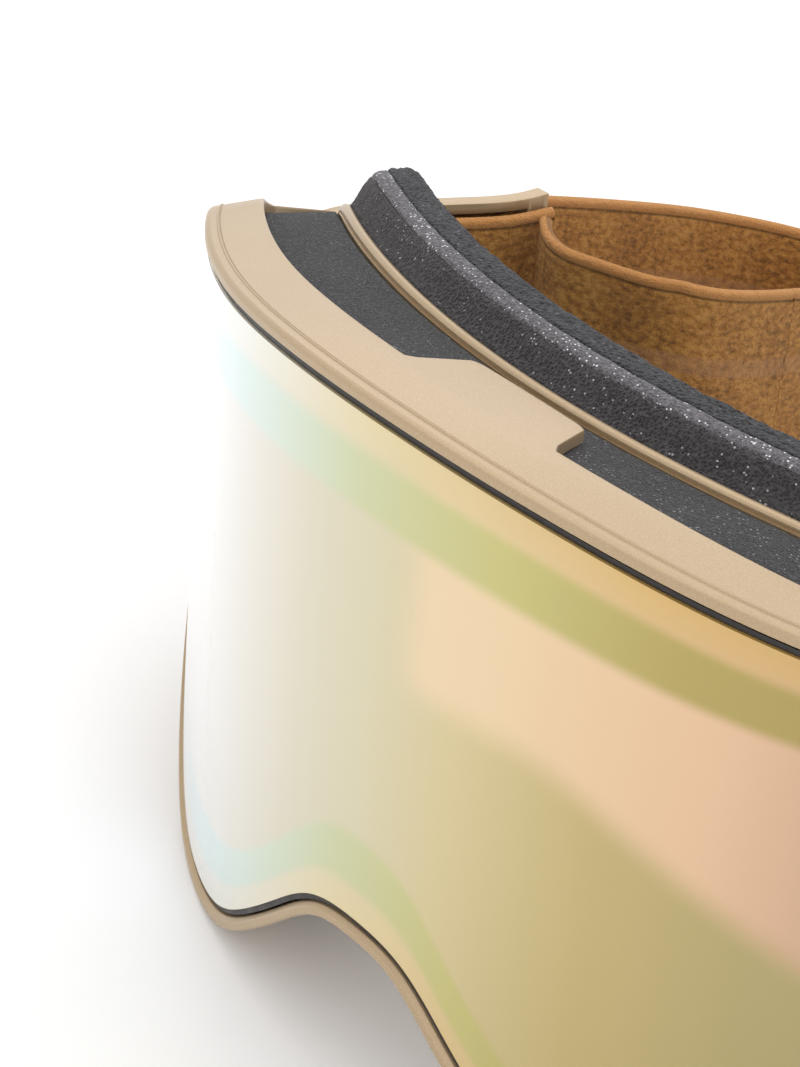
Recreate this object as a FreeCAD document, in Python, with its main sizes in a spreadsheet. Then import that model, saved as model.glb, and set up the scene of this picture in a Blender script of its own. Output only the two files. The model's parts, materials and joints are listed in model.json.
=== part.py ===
"""Ski goggles: a moulded frame, a magnetic double lens, three-layer face foam,
hinged strap arms and an elastic strap with two sliders.

Axes: +X is the wearer's left, +Y points from the lens towards the face, +Z is up.
The origin is the middle of the footprint, on the surface that the goggles stand on.
Everything is first worked out from the middle of the lens's top edge (the datum),
and each sub-part's Placement then carries it to the origin.
"""
import FreeCAD, Part
import math
import os
from FreeCAD import Placement, Rotation, Vector

doc = FreeCAD.newDocument("ski_goggles")

# ---------------------------------------------------------------- driving dimensions (mm, degrees)
SIZES = {
    "lens_radius": 101.4,         # the lens is part of an upright cylinder
    "outer_lens_thick": 1.1,
    "inner_lens_thick": 0.8,
    "lens_air_gap": 2.6,          # sealed air between the two lenses
    "lens_inset": 2.95,           # lens edge, in from the frame's outer skin
    "carrier_inset": 2.1,         # outer wall of the lens carrier
    "carrier_wall": 0.75,
    "carrier_depth": 6.2,
    "carrier_flange": 6.4,        # width of the flange that holds the magnets
    "magnet_flange_thick": 1.6,
    "magnet_gap": 0.3,            # between the carrier and the frame's ledge
    "shell_wall": 1.8,            # front frame
    "shell_step": 8.3,            # straight front part of the frame, along Y
    "shell_taper": 0.9,           # how far that part draws in
    "lip_proud": 0.5,
    "strip_reach": 1.17,          # where the top strip ends: 1 is the step, 2 the bead
    "strip_narrowing": 0.10,      # how much nearer the front it ends 64 mm out
    "tab_base_half": 12.4,
    "tab_rear_half": 9.4,
    "tab_rear_depth": 20.2,
    "tab_corner": 2.6,
    "vent_half_width": 74.0,
    "vent_recess": 3.6,           # inset of the vent foam's underside
    "ring_wall": 1.6,             # face frame wall under the vents
    "bead_inset": 1.25,
    "flange_width": 11.0,
    "flange_thick": 1.5,
    "foam_base": 3.9,
    "foam_middle": 2.9,
    "foam_fleece": 6.2,
    "foam_overhang_top": 2.3,     # the ridge stands this far out of the skin line
    "foam_overhang_side": 0.4,
    "magnet_diameter": 4.0,
    "magnet_thick": 0.9,
    "pin_diameter": 3.0,
    "pin_fit": 0.05,              # radial running clearance
    "pin_out": 85.6,              # the hinge axis, across
    "pin_back": 50.0,             # and back
    "arm_thick": 2.4,
    "arm_top": -26.0,
    "arm_height": 44.0,
    "arm_rail": 2.0,
    "lug_height": 6.0,
    "barrel_radius": 3.2,
    "strap_width": 40.0,
    "strap_thick": 1.8,
    "strap_top": -27.6,
    "strap_bend_back": 96.0,      # behind this the strap falls towards the table
    "run_start_across": 64.5,     # straight run that the slider travels on
    "run_start_back": 152.5,
    "run_length": 40.0,
    "run_heading": 47.0,
    "slider_length": 15.0,
    "slider_bar": 3.0,
    "slider_bar_thick": 1.8,
    "slider_rail": 2.6,
    "slider_at": 12.5,            # from the start of the run
    "grip_thick": 0.4,
    "grip_width": 3.0,
}

sheet = doc.addObject("Spreadsheet::Sheet", "sizes")
for row, (alias, value) in enumerate(SIZES.items(), start=1):
    sheet.set("A%d" % row, alias.replace("_", " "))
    sheet.set("B%d" % row, str(value))
    sheet.setAlias("B%d" % row, alias)
doc.recompute()


def size(alias):
    """A driving dimension as the sheet holds it."""
    return float(sheet.get(alias))


# ---------------------------------------------------------------- outlines
# Half outlines from the top middle, down one side, to the nose. FRONT is measured along
# the lens's curve and up; REAR is measured across and up, at the bead in front of the foam.
FRONT_HALF = [(0, 2.9), (24, 1.3), (46, -2.3), (66, -5.8), (80, -9.8), (88.5, -18.5),
              (91.5, -31.5), (90.8, -45), (87, -58.5), (80, -71.5), (70, -84), (58.5, -94),
              (46, -97.5), (34, -96), (24, -89.5), (15, -81), (7.5, -74.5), (0, -72.9)]
REAR_HALF = [(0, -1.6), (23, -2.3), (43, -4.4), (59, -7.9), (70, -13.5), (76, -24),
             (78, -37), (77.3, -50), (74, -63), (68.5, -75), (61, -85.5), (52, -92),
             (42, -93.5), (32, -89.5), (23.5, -79), (15.5, -65.5), (8, -54.5), (0, -51)]
STATIONS = 48
ARCS = 8


def closed_outline(half):
    """A smooth closed outline through the half outline's points and their mirror images."""
    mirrored = [(-across, up) for across, up in reversed(half[1:-1])]
    points = [Vector(across, up, 0) for across, up in list(half) + mirrored]
    curve = Part.BSplineCurve()
    curve.interpolate(Points=points, PeriodicFlag=True, Parameters=list(range(len(points) + 1)))
    return curve, len(points)


def stations_of(half):
    """Points evenly spread along an outline from the nose, each with its outward direction."""
    curve, spans = closed_outline(half)
    result = []
    for index in range(STATIONS):
        parameter = spans * ((index / STATIONS + 0.5) % 1.0)
        point = curve.value(parameter)
        tangent = curve.tangent(parameter)[0]
        outward = Vector(-tangent.y, tangent.x, 0)
        result.append((point, outward))
    return result


def lowest(half):
    """The lowest height that the outline reaches, to a hundredth of a station."""
    curve, spans = closed_outline(half)
    return min(curve.value(spans * step / 4000).y for step in range(4000))


FRONT = stations_of(FRONT_HALF)
REAR = stations_of(REAR_HALF)
floor_depth = -lowest(FRONT_HALF)


def on_lens(along, up):
    """A point of the lens's front cylinder, from its arc length across and its height."""
    radius = size("lens_radius")
    angle = along / radius
    return Vector(radius * math.sin(angle), radius * (1 - math.cos(angle)), up)


def face_line_back(across):
    """How far back the bead lies: the frame's rear edge follows the face."""
    ratio = across / 50.0
    return 24.7 + 12.4 * ratio ** 2 + 0.64 * ratio ** 4


def skin_point(index, depth, inset, back):
    """A point set in from the skin: depth 0 is the front edge, 1 the step and 2 the bead."""
    point, outward = FRONT[index]
    rear_point, rear_outward = REAR[index]
    if depth < 1:
        drawn = inset + depth * size("shell_taper")
        place = point - outward * drawn
        result = on_lens(place.x, place.y)
        result.y += depth * size("shell_step")
    else:
        place = point - outward * (inset + size("shell_taper"))
        step = on_lens(place.x, place.y)
        step.y += size("shell_step")
        place = rear_point - rear_outward * inset
        rear = Vector(place.x, face_line_back(place.x), place.y)
        result = step + (rear - step) * (depth - 1)
    result.y += back
    return result


def value_at(entry, index):
    """A corner's number, or what it is at one station if it varies round the ring."""
    return entry(index) if callable(entry) else entry


def closed_curve(points):
    curve = Part.BSplineCurve()
    curve.interpolate(Points=points, PeriodicFlag=True, Parameters=list(range(len(points) + 1)))
    return curve


def ring(corners):
    """A section of (depth, inset, back) corners carried round the frame, in equal arcs."""
    curves = []
    for depth, inset, back in corners:
        points = [skin_point(i, value_at(depth, i), value_at(inset, i), value_at(back, i))
                  for i in range(STATIONS)]
        curves.append(closed_curve(points))
    faces = []
    for arc in range(ARCS):
        start, end = arc * STATIONS / ARCS, (arc + 1) * STATIONS / ARCS
        edges = [curve.toShape(start, end) for curve in curves]
        faces += [Part.makeRuledSurface(edges[i - 1], edges[i]) for i in range(len(edges))]
    shell = Part.makeShell(faces)
    shell.sewShape()
    solid = Part.makeSolid(shell)
    if solid.Volume < 0:
        solid.reverse()
    return solid


def slab(low_x, high_x, low_z, high_z):
    """A block through the whole goggles along Y."""
    return Part.makeBox(high_x - low_x, 160, high_z - low_z, Vector(low_x, -20, low_z))


# ---------------------------------------------------------------- the strap's course in plan
half_strap = size("strap_thick") / 2
heading = math.radians(size("run_heading"))
run_start = Vector(size("run_start_across"), size("run_start_back"), 0)
run_way = Vector(-math.cos(heading), math.sin(heading), 0)
run_end = run_start + run_way * size("run_length")
rear_radius = run_end.x / math.sin(heading)
rear_back = run_end.y + rear_radius * (1 - math.cos(heading))
rear_edge = rear_back + half_strap
strap_fall = (floor_depth + size("strap_top") - size("strap_width")) / (rear_edge - size("strap_bend_back"))

# ---------------------------------------------------------------- placing and keeping sub-parts
overall_depth = rear_edge + size("lip_proud")
TO_ORIGIN = Vector(0, size("lip_proud") - overall_depth / 2, floor_depth)
subparts = []


def keep(item, label, placement=None):
    """Names a finished sub-part and carries it from the datum to the origin."""
    item.Label = label
    start = placement if placement else item.Placement
    item.Placement = Placement(TO_ORIGIN, Rotation()).multiply(start)
    subparts.append(item)
    return item


def keep_shape(shape, label):
    item = doc.addObject("Part::Feature", label + "_shape")
    item.Shape = shape
    return keep(item, label, Placement())


# ---------------------------------------------------------------- lens unit
def lens_sheet(label, behind, thickness_alias, inset):
    """A lens: a face of the upright cylinder, cut to the outline and thickened straight back."""
    surface = doc.addObject("Part::Feature", label + "_surface")
    radius = size("lens_radius")
    column = Part.makeCylinder(radius, 140, Vector(0, radius + behind, -120))
    surface.Shape = [face for face in column.Faces if isinstance(face.Surface, Part.Cylinder)][0]
    points = [skin_point(i, 0, inset, 0) for i in range(STATIONS)]
    flat = [Vector(point.x, -5, point.z) for point in points]
    outline = doc.addObject("Part::Feature", label + "_outline")
    outline.Shape = Part.Wire([closed_curve(flat).toShape()])
    prism = doc.addObject("Part::Extrusion", label + "_prism")
    prism.Base = outline
    prism.Dir = Vector(0, 1, 0)
    prism.LengthFwd = 70
    prism.Solid = True
    trimmed = doc.addObject("Part::Common", label + "_trimmed")
    trimmed.Base = surface
    trimmed.Tool = prism
    lens = doc.addObject("Part::Extrusion", label + "_sheet")
    lens.Base = trimmed
    lens.Dir = Vector(0, 1, 0)
    lens.setExpression("LengthFwd", "sizes." + thickness_alias)
    lens.Solid = True
    return keep(lens, label)


GLUE_GAP = 0.05
lens_sheet("outer_lens", 0, "outer_lens_thick", size("lens_inset"))
lens_sheet("inner_lens", size("outer_lens_thick") + size("lens_air_gap"), "inner_lens_thick",
           size("lens_inset") + 0.3)

spacer_front = size("outer_lens_thick") + GLUE_GAP
spacer_rear = size("outer_lens_thick") + size("lens_air_gap") - GLUE_GAP
spacer_outer = size("lens_inset") + 0.3
spacer_inner = spacer_outer + 4.2
keep_shape(ring([(0, spacer_outer, spacer_front), (0, spacer_inner, spacer_front),
                 (0, spacer_inner, spacer_rear), (0, spacer_outer, spacer_rear)]), "lens_spacer")

# The step's taper draws the skin in along Y, so an inset at "back" needs that much less.
taper_rate = size("shell_taper") / size("shell_step")


def carrier_corner(inset, back):
    """A carrier corner: straight back from the front outline, drawn in with the frame."""
    return (0, inset + taper_rate * back, back)


wall_out = size("carrier_inset")
wall_in = wall_out + size("carrier_wall")
flange_in = wall_out + size("carrier_flange")
flange_front = size("carrier_depth") - size("magnet_flange_thick")
carrier = ring([carrier_corner(wall_out, 0.35), carrier_corner(wall_out, size("carrier_depth")),
                carrier_corner(flange_in, size("carrier_depth")), carrier_corner(flange_in, flange_front),
                (0, wall_in, flange_front), (0, wall_in, 0.35)])

ledge_front = size("carrier_depth") + size("magnet_gap")
MAGNET_ALONG_TOP = [18, 62]
MAGNET_ALONG_BOTTOM = [46]
MAGNET_ALONG_SIDE = [83]


def magnet_places():
    """Where the magnets sit round the lens: (along the lens, height)."""
    middle = size("carrier_inset") + size("carrier_flange") / 2
    places = []
    for index in range(STATIONS):
        point, outward = FRONT[index]
        place = point - outward * (middle + 0.6)
        places.append(place)
    chosen = []
    for sign in (-1, 1):
        for along in MAGNET_ALONG_TOP:
            near = [p for p in places if p.y > -25]
            chosen.append(min(near, key=lambda p: abs(p.x - sign * along)))
        for along in MAGNET_ALONG_BOTTOM:
            near = [p for p in places if p.y < -80]
            chosen.append(min(near, key=lambda p: abs(p.x - sign * along)))
        near = [p for p in places if -60 < p.y < -30]
        chosen.append(min(near, key=lambda p: abs(abs(p.x) - MAGNET_ALONG_SIDE[0]) + 99 * (p.x * sign < 0)))
    return chosen


def magnet_disc(place, surface_back, inwards):
    """A disc magnet sunk in a surface that runs parallel to the lens."""
    angle = place.x / size("lens_radius")
    centre = on_lens(place.x, place.y) + Vector(0, surface_back, 0)
    axis = Vector(-math.sin(angle), math.cos(angle), 0) * inwards
    return Part.makeCylinder(size("magnet_diameter") / 2, size("magnet_thick"), centre + axis * 0.1, axis)


lens_magnets = []
frame_magnets = []
for place in magnet_places():
    lens_magnets.append(magnet_disc(place, size("carrier_depth"), -1))
    frame_magnets.append(magnet_disc(place, ledge_front, 1))
keep_shape(carrier.cut(Part.makeCompound(lens_magnets)), "lens_carrier")
keep_shape(Part.makeCompound(lens_magnets), "lens_magnets")

# ---------------------------------------------------------------- front frame
shell = size("shell_wall")


def strip_edge(index):
    """Depth at which the gold strip ends over the vents: nearer the front towards the sides."""
    across = REAR[index][0].x
    return size("strip_reach") - size("strip_narrowing") * (across / 64.0) ** 2


def strip_edge_foam(index):
    return strip_edge(index) + 0.02


SKIN_END = 1.93
skin = ring([(0, 0.25, -size("lip_proud")), (0, shell - 0.4, -size("lip_proud")),
             (0, shell, 0.2), (1, shell, 0), (SKIN_END, shell, 0), (SKIN_END, 0, 0), (1, 0, 0),
             (0, 0, 0.4)])


def tab_outline():
    """Plan of the tab, flared into the strip and rounded at its two rear corners."""
    base = size("tab_base_half")
    rear = size("tab_rear_half")
    end = size("tab_rear_depth")
    corner = size("tab_corner")
    lean = (base - rear) / (end - 11.0)
    side_start = Vector(base - lean * 2.2, 13.2, 0)
    side_end = Vector(rear + lean * corner, end - corner, 0)
    corner_end = Vector(rear - corner, end, 0)
    corner_middle = Vector(rear - corner * 0.22, end - corner * 0.22, 0)
    flare_start = Vector(base + 5.5, 10.2, 0)
    flare_middle = Vector(base + 0.9, 11.3, 0)
    front = Vector(base + 5.5, 4.0, 0)

    def flip(point):
        return Vector(-point.x, point.y, 0)

    right = [Part.LineSegment(front, flare_start), Part.Arc(flare_start, flare_middle, side_start),
             Part.LineSegment(side_start, side_end), Part.Arc(side_end, corner_middle, corner_end)]
    left = [Part.LineSegment(flip(front), flip(flare_start)),
            Part.Arc(flip(flare_start), flip(flare_middle), flip(side_start)),
            Part.LineSegment(flip(side_start), flip(side_end)),
            Part.Arc(flip(side_end), flip(corner_middle), flip(corner_end))]
    ends = [Part.LineSegment(corner_end, flip(corner_end)), Part.LineSegment(front, flip(front))]
    edges = [piece.toShape() for piece in right + left + ends]
    return Part.Face(Part.Wire(Part.__sortEdges__(edges)))


tab = tab_outline()
tab.translate(Vector(0, 0, -12))
tab = tab.extrude(Vector(0, 0, 24))

half_vent = size("vent_half_width")
TOP_VENT_FLOOR = -40
LOWER_VENT = (25, 60, -110, -80)
top_vent_slab = slab(-half_vent, half_vent, TOP_VENT_FLOOR, 20)
lower_vent_slabs = [slab(sign * LOWER_VENT[0] if sign > 0 else -LOWER_VENT[1],
                         LOWER_VENT[1] if sign > 0 else -LOWER_VENT[0],
                         LOWER_VENT[2], LOWER_VENT[3]) for sign in (-1, 1)]
vent_band = ring([(strip_edge, -1.5, 0), (2.05, -1.5, 0), (2.05, 2.3, 0), (strip_edge, 2.3, 0)])
top_cutter = vent_band.common(top_vent_slab).cut(tab)
lower_cutter = vent_band.common(Part.makeCompound(lower_vent_slabs))
front_frame = skin.cut(top_cutter).cut(lower_cutter)


# hinge brackets: two lugs a side, joined to the frame's side wall
def upright(radius, low, high, centre):
    return Part.makeCylinder(radius, high - low, Vector(centre.x, centre.y, low))


arm_low = size("arm_top") - size("arm_height")
lug_gap = 0.3
LUG_SPANS = [(arm_low + 1.0, arm_low + 1.0 + size("lug_height")),
             (size("arm_top") - 1.0 - size("lug_height"), size("arm_top") - 1.0)]


def hinge_centre(side):
    return Vector(side * size("pin_out"), size("pin_back"), 0)


def hinge_lugs(side):
    """The two lugs of one hinge, each a round eye on a web."""
    centre = hinge_centre(side)
    radius = size("barrel_radius")
    pieces = []
    for low, high in LUG_SPANS:
        web_from = 77.4
        web = Part.makeBox(size("pin_out") - web_from, 2 * radius, high - low,
                           Vector(web_from if side > 0 else -size("pin_out"), centre.y - radius, low))
        pieces.append(web.fuse(upright(radius, low, high, centre)))
    return pieces


pin_radius = size("pin_diameter") / 2
for side in (-1, 1):
    for lug in hinge_lugs(side):
        front_frame = front_frame.fuse(lug)
    front_frame = front_frame.cut(upright(pin_radius, arm_low - 5, size("arm_top") + 5, hinge_centre(side)))
keep_shape(front_frame, "front_frame")

# ---------------------------------------------------------------- face frame
inner_start = shell + 0.1
recess = size("vent_recess")
ring_in = recess + size("ring_wall")
ledge_back = (ledge_front, size("shell_step"))
ledge_in = size("carrier_inset") + size("carrier_flange") + 0.6


def ledge_corner(inset, back):
    return (0, inset + taper_rate * back, back)


bead_in = size("bead_inset")
bead_half = size("flange_thick") / 2
flange_end = bead_in + size("flange_width")
# One section makes the ledge for the magnets, the wall, the bead and the flange.
face_ring = ring([ledge_corner(inner_start, ledge_back[0]), (1, inner_start, 0),
                  (2, inner_start, -bead_half), (2, bead_in, -bead_half), (2, bead_in - 0.35, 0),
                  (2, bead_in, bead_half), (2, flange_end, bead_half), (2, flange_end, -bead_half),
                  (2, ring_in, -bead_half), (1, ring_in, 2.0),
                  ledge_corner(ledge_in, ledge_back[1] + 0.4), ledge_corner(ledge_in, ledge_back[0])])
recess_band = ring([(strip_edge, 1.5, 0), (SKIN_END, 1.5, 0), (SKIN_END, recess, 0), (strip_edge, recess, 0)])
window_band = ring([(1.32, recess - 0.6, 0), (1.80, recess - 0.6, 0), (1.80, ring_in + 1.2, 0),
                    (1.32, ring_in + 1.2, 0)])
TOP_WINDOWS = [(3, 19), (23, 40), (44, 61)]
LOWER_WINDOWS = [(29, 41), (44, 56)]
window_slabs = []
for sign in (-1, 1):
    for windows, low, high in ((TOP_WINDOWS, TOP_VENT_FLOOR, 20), (LOWER_WINDOWS, -110, -80)):
        for near, far in windows:
            window_slabs.append(slab(min(sign * near, sign * far), max(sign * near, sign * far), low, high))
cutters = [recess_band.common(top_vent_slab)]
cutters += [recess_band.common(lower_slab) for lower_slab in lower_vent_slabs]
cutters += [window_band.common(window_slab) for window_slab in window_slabs]
face_frame = face_ring
for cutter in cutters + frame_magnets:
    uncut = face_frame.Volume
    face_frame = face_frame.cut(cutter)
    removed = uncut - face_frame.Volume
    if not 0.2 < removed / cutter.Volume < 1.05:
        raise RuntimeError("a recess, window or magnet pocket removed %.1f mm3" % removed)
keep_shape(face_frame, "face_frame")
keep_shape(Part.makeCompound(frame_magnets), "frame_magnets")

# ---------------------------------------------------------------- vent foams
FOAM_SIDE_GAP = 0.4
vent_foam = ring([(strip_edge_foam, inner_start + 0.05, 0), (SKIN_END - 0.02, inner_start + 0.05, 0),
                  (SKIN_END - 0.02, recess - 0.05, 0), (strip_edge_foam, recess - 0.05, 0)])
for side, name in ((1, "left"), (-1, "right")):
    near, far = 0.1, half_vent - FOAM_SIDE_GAP
    block = slab(min(side * near, side * far), max(side * near, side * far), TOP_VENT_FLOOR, 20)
    keep_shape(vent_foam.common(block), "top_vent_foam_" + name)
    near, far = LOWER_VENT[0] + FOAM_SIDE_GAP, LOWER_VENT[1] - FOAM_SIDE_GAP
    block = slab(min(side * near, side * far), max(side * near, side * far),
                 LOWER_VENT[2], LOWER_VENT[3] - FOAM_SIDE_GAP)
    keep_shape(vent_foam.common(block), "lower_vent_foam_" + name)


# ---------------------------------------------------------------- face foam
def ridge_inset(index):
    """How far the foam's ridge stands out: most along the brow, little at the sides."""
    up = REAR[index][0].y
    share = min(1.0, max(0.0, (up + 30) / 25.0))
    share = share * share * (3 - 2 * share)
    side, top = size("foam_overhang_side"), size("foam_overhang_top")
    return -(side + (top - side) * share)


def shifted(offset):
    def inset(index):
        return ridge_inset(index) + offset
    return inset


foam_start = bead_half + GLUE_GAP
base_end = foam_start + size("foam_base")
middle_end = base_end + size("foam_middle")
fleece_end = middle_end + size("foam_fleece")
foam_in = flange_end + 0.5
keep_shape(ring([(2, bead_in + 0.3, foam_start), (2, shifted(0.2), base_end - 0.9),
                 (2, shifted(0), base_end - GLUE_GAP), (2, foam_in + 0.8, base_end - GLUE_GAP),
                 (2, foam_in, foam_start)]), "face_foam_base")
keep_shape(ring([(2, shifted(0), base_end), (2, shifted(0.3), middle_end - GLUE_GAP),
                 (2, foam_in + 1.6, middle_end - GLUE_GAP), (2, foam_in + 0.8, base_end)]),
           "face_foam_middle")
keep_shape(ring([(2, shifted(0.3), middle_end), (2, shifted(1.0), fleece_end - 1.2),
                 (2, shifted(3.0), fleece_end), (2, foam_in + 0.6, fleece_end),
                 (2, foam_in + 1.9, fleece_end - 1.4), (2, foam_in + 1.6, middle_end)]), "face_fleece")


# ---------------------------------------------------------------- outriggers
def plan_curve(points):
    curve = Part.BSplineCurve()
    curve.interpolate(Points=points)
    return curve


def offset_points(points, offset, count=24):
    """Points along the smooth line through "points", moved sideways to its right."""
    curve = plan_curve(points)
    first, last = curve.FirstParameter, curve.LastParameter
    result = []
    for index in range(count + 1):
        parameter = first + (last - first) * index / count
        tangent = curve.tangent(parameter)[0]
        result.append(curve.value(parameter) + Vector(tangent.y, -tangent.x, 0) * offset)
    return result


def plan_band(points, low_offset, high_offset):
    """A flat face between two lines that run beside the line through "points"."""
    one = offset_points(points, low_offset)
    other = offset_points(points, high_offset)
    edges = [plan_curve(one).toShape(), Part.makeLine(one[-1], other[-1]),
             plan_curve(other).toShape(), Part.makeLine(other[0], one[0])]
    return Part.Face(Part.Wire(Part.__sortEdges__(edges)))


def raised(face, low, high):
    face = face.copy()
    face.translate(Vector(0, 0, low))
    return face.extrude(Vector(0, 0, high - low))


# The arm's middle line in plan, from the hinge to the rear bar, for the wearer's left.
ARM_LINE = [(85.6, 50), (86.4, 58), (86.3, 66.8), (83.9, 74), (78.9, 84), (76.4, 89.5), (75.3, 96.5)]
ARM_PLATE_FROM = 55.0
SLOT_FRONT = (59.0, 64.2)
SLOT_REAR = (67.8, 92.6)


def sided(points, side):
    return [Vector(side * across, back, 0) for across, back in points]


def crosswise(near, far, low, high):
    """A block across the whole width, for cutting by how far back it lies."""
    return Part.makeBox(400, far - near, high - low, Vector(-200, near, low))


def outrigger(side):
    """The strap arm: a curved plate with two slots, and the hinge barrel at its front."""
    half = size("arm_thick") / 2
    top = size("arm_top")
    plate = raised(plan_band(sided(ARM_LINE, side), -half, half), arm_low, top)
    barrel_low = LUG_SPANS[0][1] + lug_gap
    barrel_high = LUG_SPANS[1][0] - lug_gap
    for low, high in ((arm_low - 1, barrel_low), (barrel_high, top + 1)):
        plate = plate.cut(crosswise(40, ARM_PLATE_FROM, low, high))
    rail = size("arm_rail")
    for near, far in (SLOT_FRONT, SLOT_REAR):
        plate = plate.cut(crosswise(near, far, arm_low + rail, top - rail + 0.35))
    centre = hinge_centre(side)
    arm = plate.fuse(upright(size("barrel_radius"), barrel_low, barrel_high, centre))
    return arm.cut(upright(pin_radius + size("pin_fit"), arm_low - 5, top + 5, centre))


def hinge_pin(side, name):
    """A headed pin, turned about its own axis."""
    body = doc.addObject("PartDesign::Body", "hinge_pin_" + name)
    sketch = body.newObject("Sketcher::SketchObject", "pin_profile_" + name)
    plane = [f for f in body.Origin.OriginFeatures if f.Role == "XZ_Plane"][0]
    sketch.AttachmentSupport = [(plane, "")]
    sketch.MapMode = "FlatFace"
    radius = pin_radius
    head = radius + 0.9
    head_thick = 0.8
    length = LUG_SPANS[1][1] - LUG_SPANS[0][0]
    corners = [(0, 0), (radius, 0), (radius, length), (head, length), (head, length + head_thick),
               (0, length + head_thick)]
    for index, (across, up) in enumerate(corners):
        next_across, next_up = corners[(index + 1) % len(corners)]
        sketch.addGeometry(Part.LineSegment(Vector(across, up, 0), Vector(next_across, next_up, 0)))
    turned = body.newObject("PartDesign::Revolution", "pin_turned_" + name)
    turned.Profile = sketch
    turned.ReferenceAxis = (sketch, ["V_Axis"])
    turned.Angle = 360
    centre = hinge_centre(side)
    body.Placement.Base = Vector(centre.x, centre.y, LUG_SPANS[0][0])
    return keep(body, "hinge_pin_" + name)


# ---------------------------------------------------------------- strap

def strap_slab(from_top=0.0, width=None):
    """The strap's height range: level beside the arms, then falling to the table at the rear."""
    width = size("strap_width") if width is None else width
    bend = size("strap_bend_back")
    top = size("strap_top") - from_top
    far = 230.0
    drop = strap_fall * (far - bend)
    outline = [(30, top), (bend, top), (far, top - drop), (far, top - drop - width),
               (bend, top - width), (30, top - width), (30, top)]
    face = Part.Face(Part.makePolygon([Vector(-150, back, up) for back, up in outline]))
    return face.extrude(Vector(300, 0, 0))


def strap_piece(face, from_top=0.0, width=None):
    """A plan face made into a strap of the strap's own height range."""
    return raised(face, -110, -10).common(strap_slab(from_top, width))


def rear_face(inner_offset, outer_offset, straight=True):
    """Plan of the strap's rear: two straight runs joined by one tangent arc."""
    centre_back = rear_back - rear_radius
    faces_edges = []
    for offset in (inner_offset, outer_offset):
        radius = rear_radius + offset
        side = Vector(radius * math.sin(heading), centre_back + radius * math.cos(heading), 0)
        start = side - run_way * size("run_length")
        apex = Vector(0, centre_back + radius, 0)
        faces_edges.append((start if straight else side, side, apex))
    edges = []
    for start, side, apex in faces_edges:
        edges.append(Part.Arc(side, apex, Vector(-side.x, side.y, 0)).toShape())
        if straight:
            edges.append(Part.makeLine(start, side))
            edges.append(Part.makeLine(Vector(-start.x, start.y, 0), Vector(-side.x, side.y, 0)))
    one, other = faces_edges[0][0], faces_edges[1][0]
    edges.append(Part.makeLine(one, other))
    edges.append(Part.makeLine(Vector(-one.x, one.y, 0), Vector(-other.x, other.y, 0)))
    return Part.Face(Part.Wire(Part.__sortEdges__(edges)))


SIDE_LINE = [(77.6, 98.3), (77.4, 110), (76.6, 121), (75.1, 131), (72.3, 139.6),
             (69.1, 146.4), (64.8, 152.2)]
INNER_LINE = [(71.2, 93.4), (66.6, 90.0), (62.0, 88.9), (57, 90.2), (51.8, 92.0), (46.8, 94.6),
              (43.2, 98.8), (41.9, 104.5), (41.9, 111), (42.8, 120), (44.6, 130.5), (46.9, 139.5),
              (49.4, 147.2)]
keep_shape(strap_piece(rear_face(-half_strap, half_strap)), "strap_rear_band")
GRIP_LINES = [11.0, 25.0]
grip_face = rear_face(-half_strap - size("grip_thick") - 0.02, -half_strap - 0.02, straight=False)
grips = [strap_piece(grip_face, from_top, size("grip_width")) for from_top in GRIP_LINES]
keep_shape(Part.makeCompound(grips), "grip_lines")

LAYER_IN = size("arm_thick") / 2 + 0.3
LAYER_OUT = LAYER_IN + size("strap_thick")
LOOP_FRONT = 61.4


def strap_loop(side):
    """The strap's end, folded round the arm's front bar and lying on both its faces."""
    line = sided(ARM_LINE, side)
    whole = plan_band(line, -LAYER_OUT, LAYER_OUT)
    gap = raised(plan_band(line, -LAYER_IN, LAYER_IN), -120, 0)
    gap = gap.common(crosswise(LOOP_FRONT + size("strap_thick"), 120, -120, 0))
    loop = strap_piece(whole).cut(gap)
    return loop.common(crosswise(LOOP_FRONT, 97.9, -120, 0))


# ---------------------------------------------------------------- sliders
fall_on_run = math.atan(strap_fall * math.sin(heading))
band_height = size("strap_width") * math.cos(fall_on_run)
CHANNEL_HALF = half_strap + 0.35
LOOP_CHANNEL = 2.3


def slider_placement(side):
    """On the middle of the strap's width: local X along the run, Y outboard, Z up the strap."""
    plan = run_start + run_way * size("slider_at")
    up = size("strap_top") - strap_fall * (plan.y - size("strap_bend_back")) - size("strap_width") / 2
    along = Vector(side * run_way.x * math.cos(fall_on_run), run_way.y * math.cos(fall_on_run),
                   -math.sin(fall_on_run))
    outboard = Vector(side * math.sin(heading), math.cos(heading), 0)
    return Placement(Vector(side * plan.x, plan.y, up), Rotation(along, outboard, Vector(), "XYZ"))


bar = size("slider_bar_thick")
half_length = size("slider_length") / 2
half_opening = band_height / 2 + 0.5
half_height = half_opening + size("slider_rail")
outer_face = CHANNEL_HALF + bar
inner_bar_face = -(CHANNEL_HALF + LOOP_CHANNEL)
inner_face = inner_bar_face - bar


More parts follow.
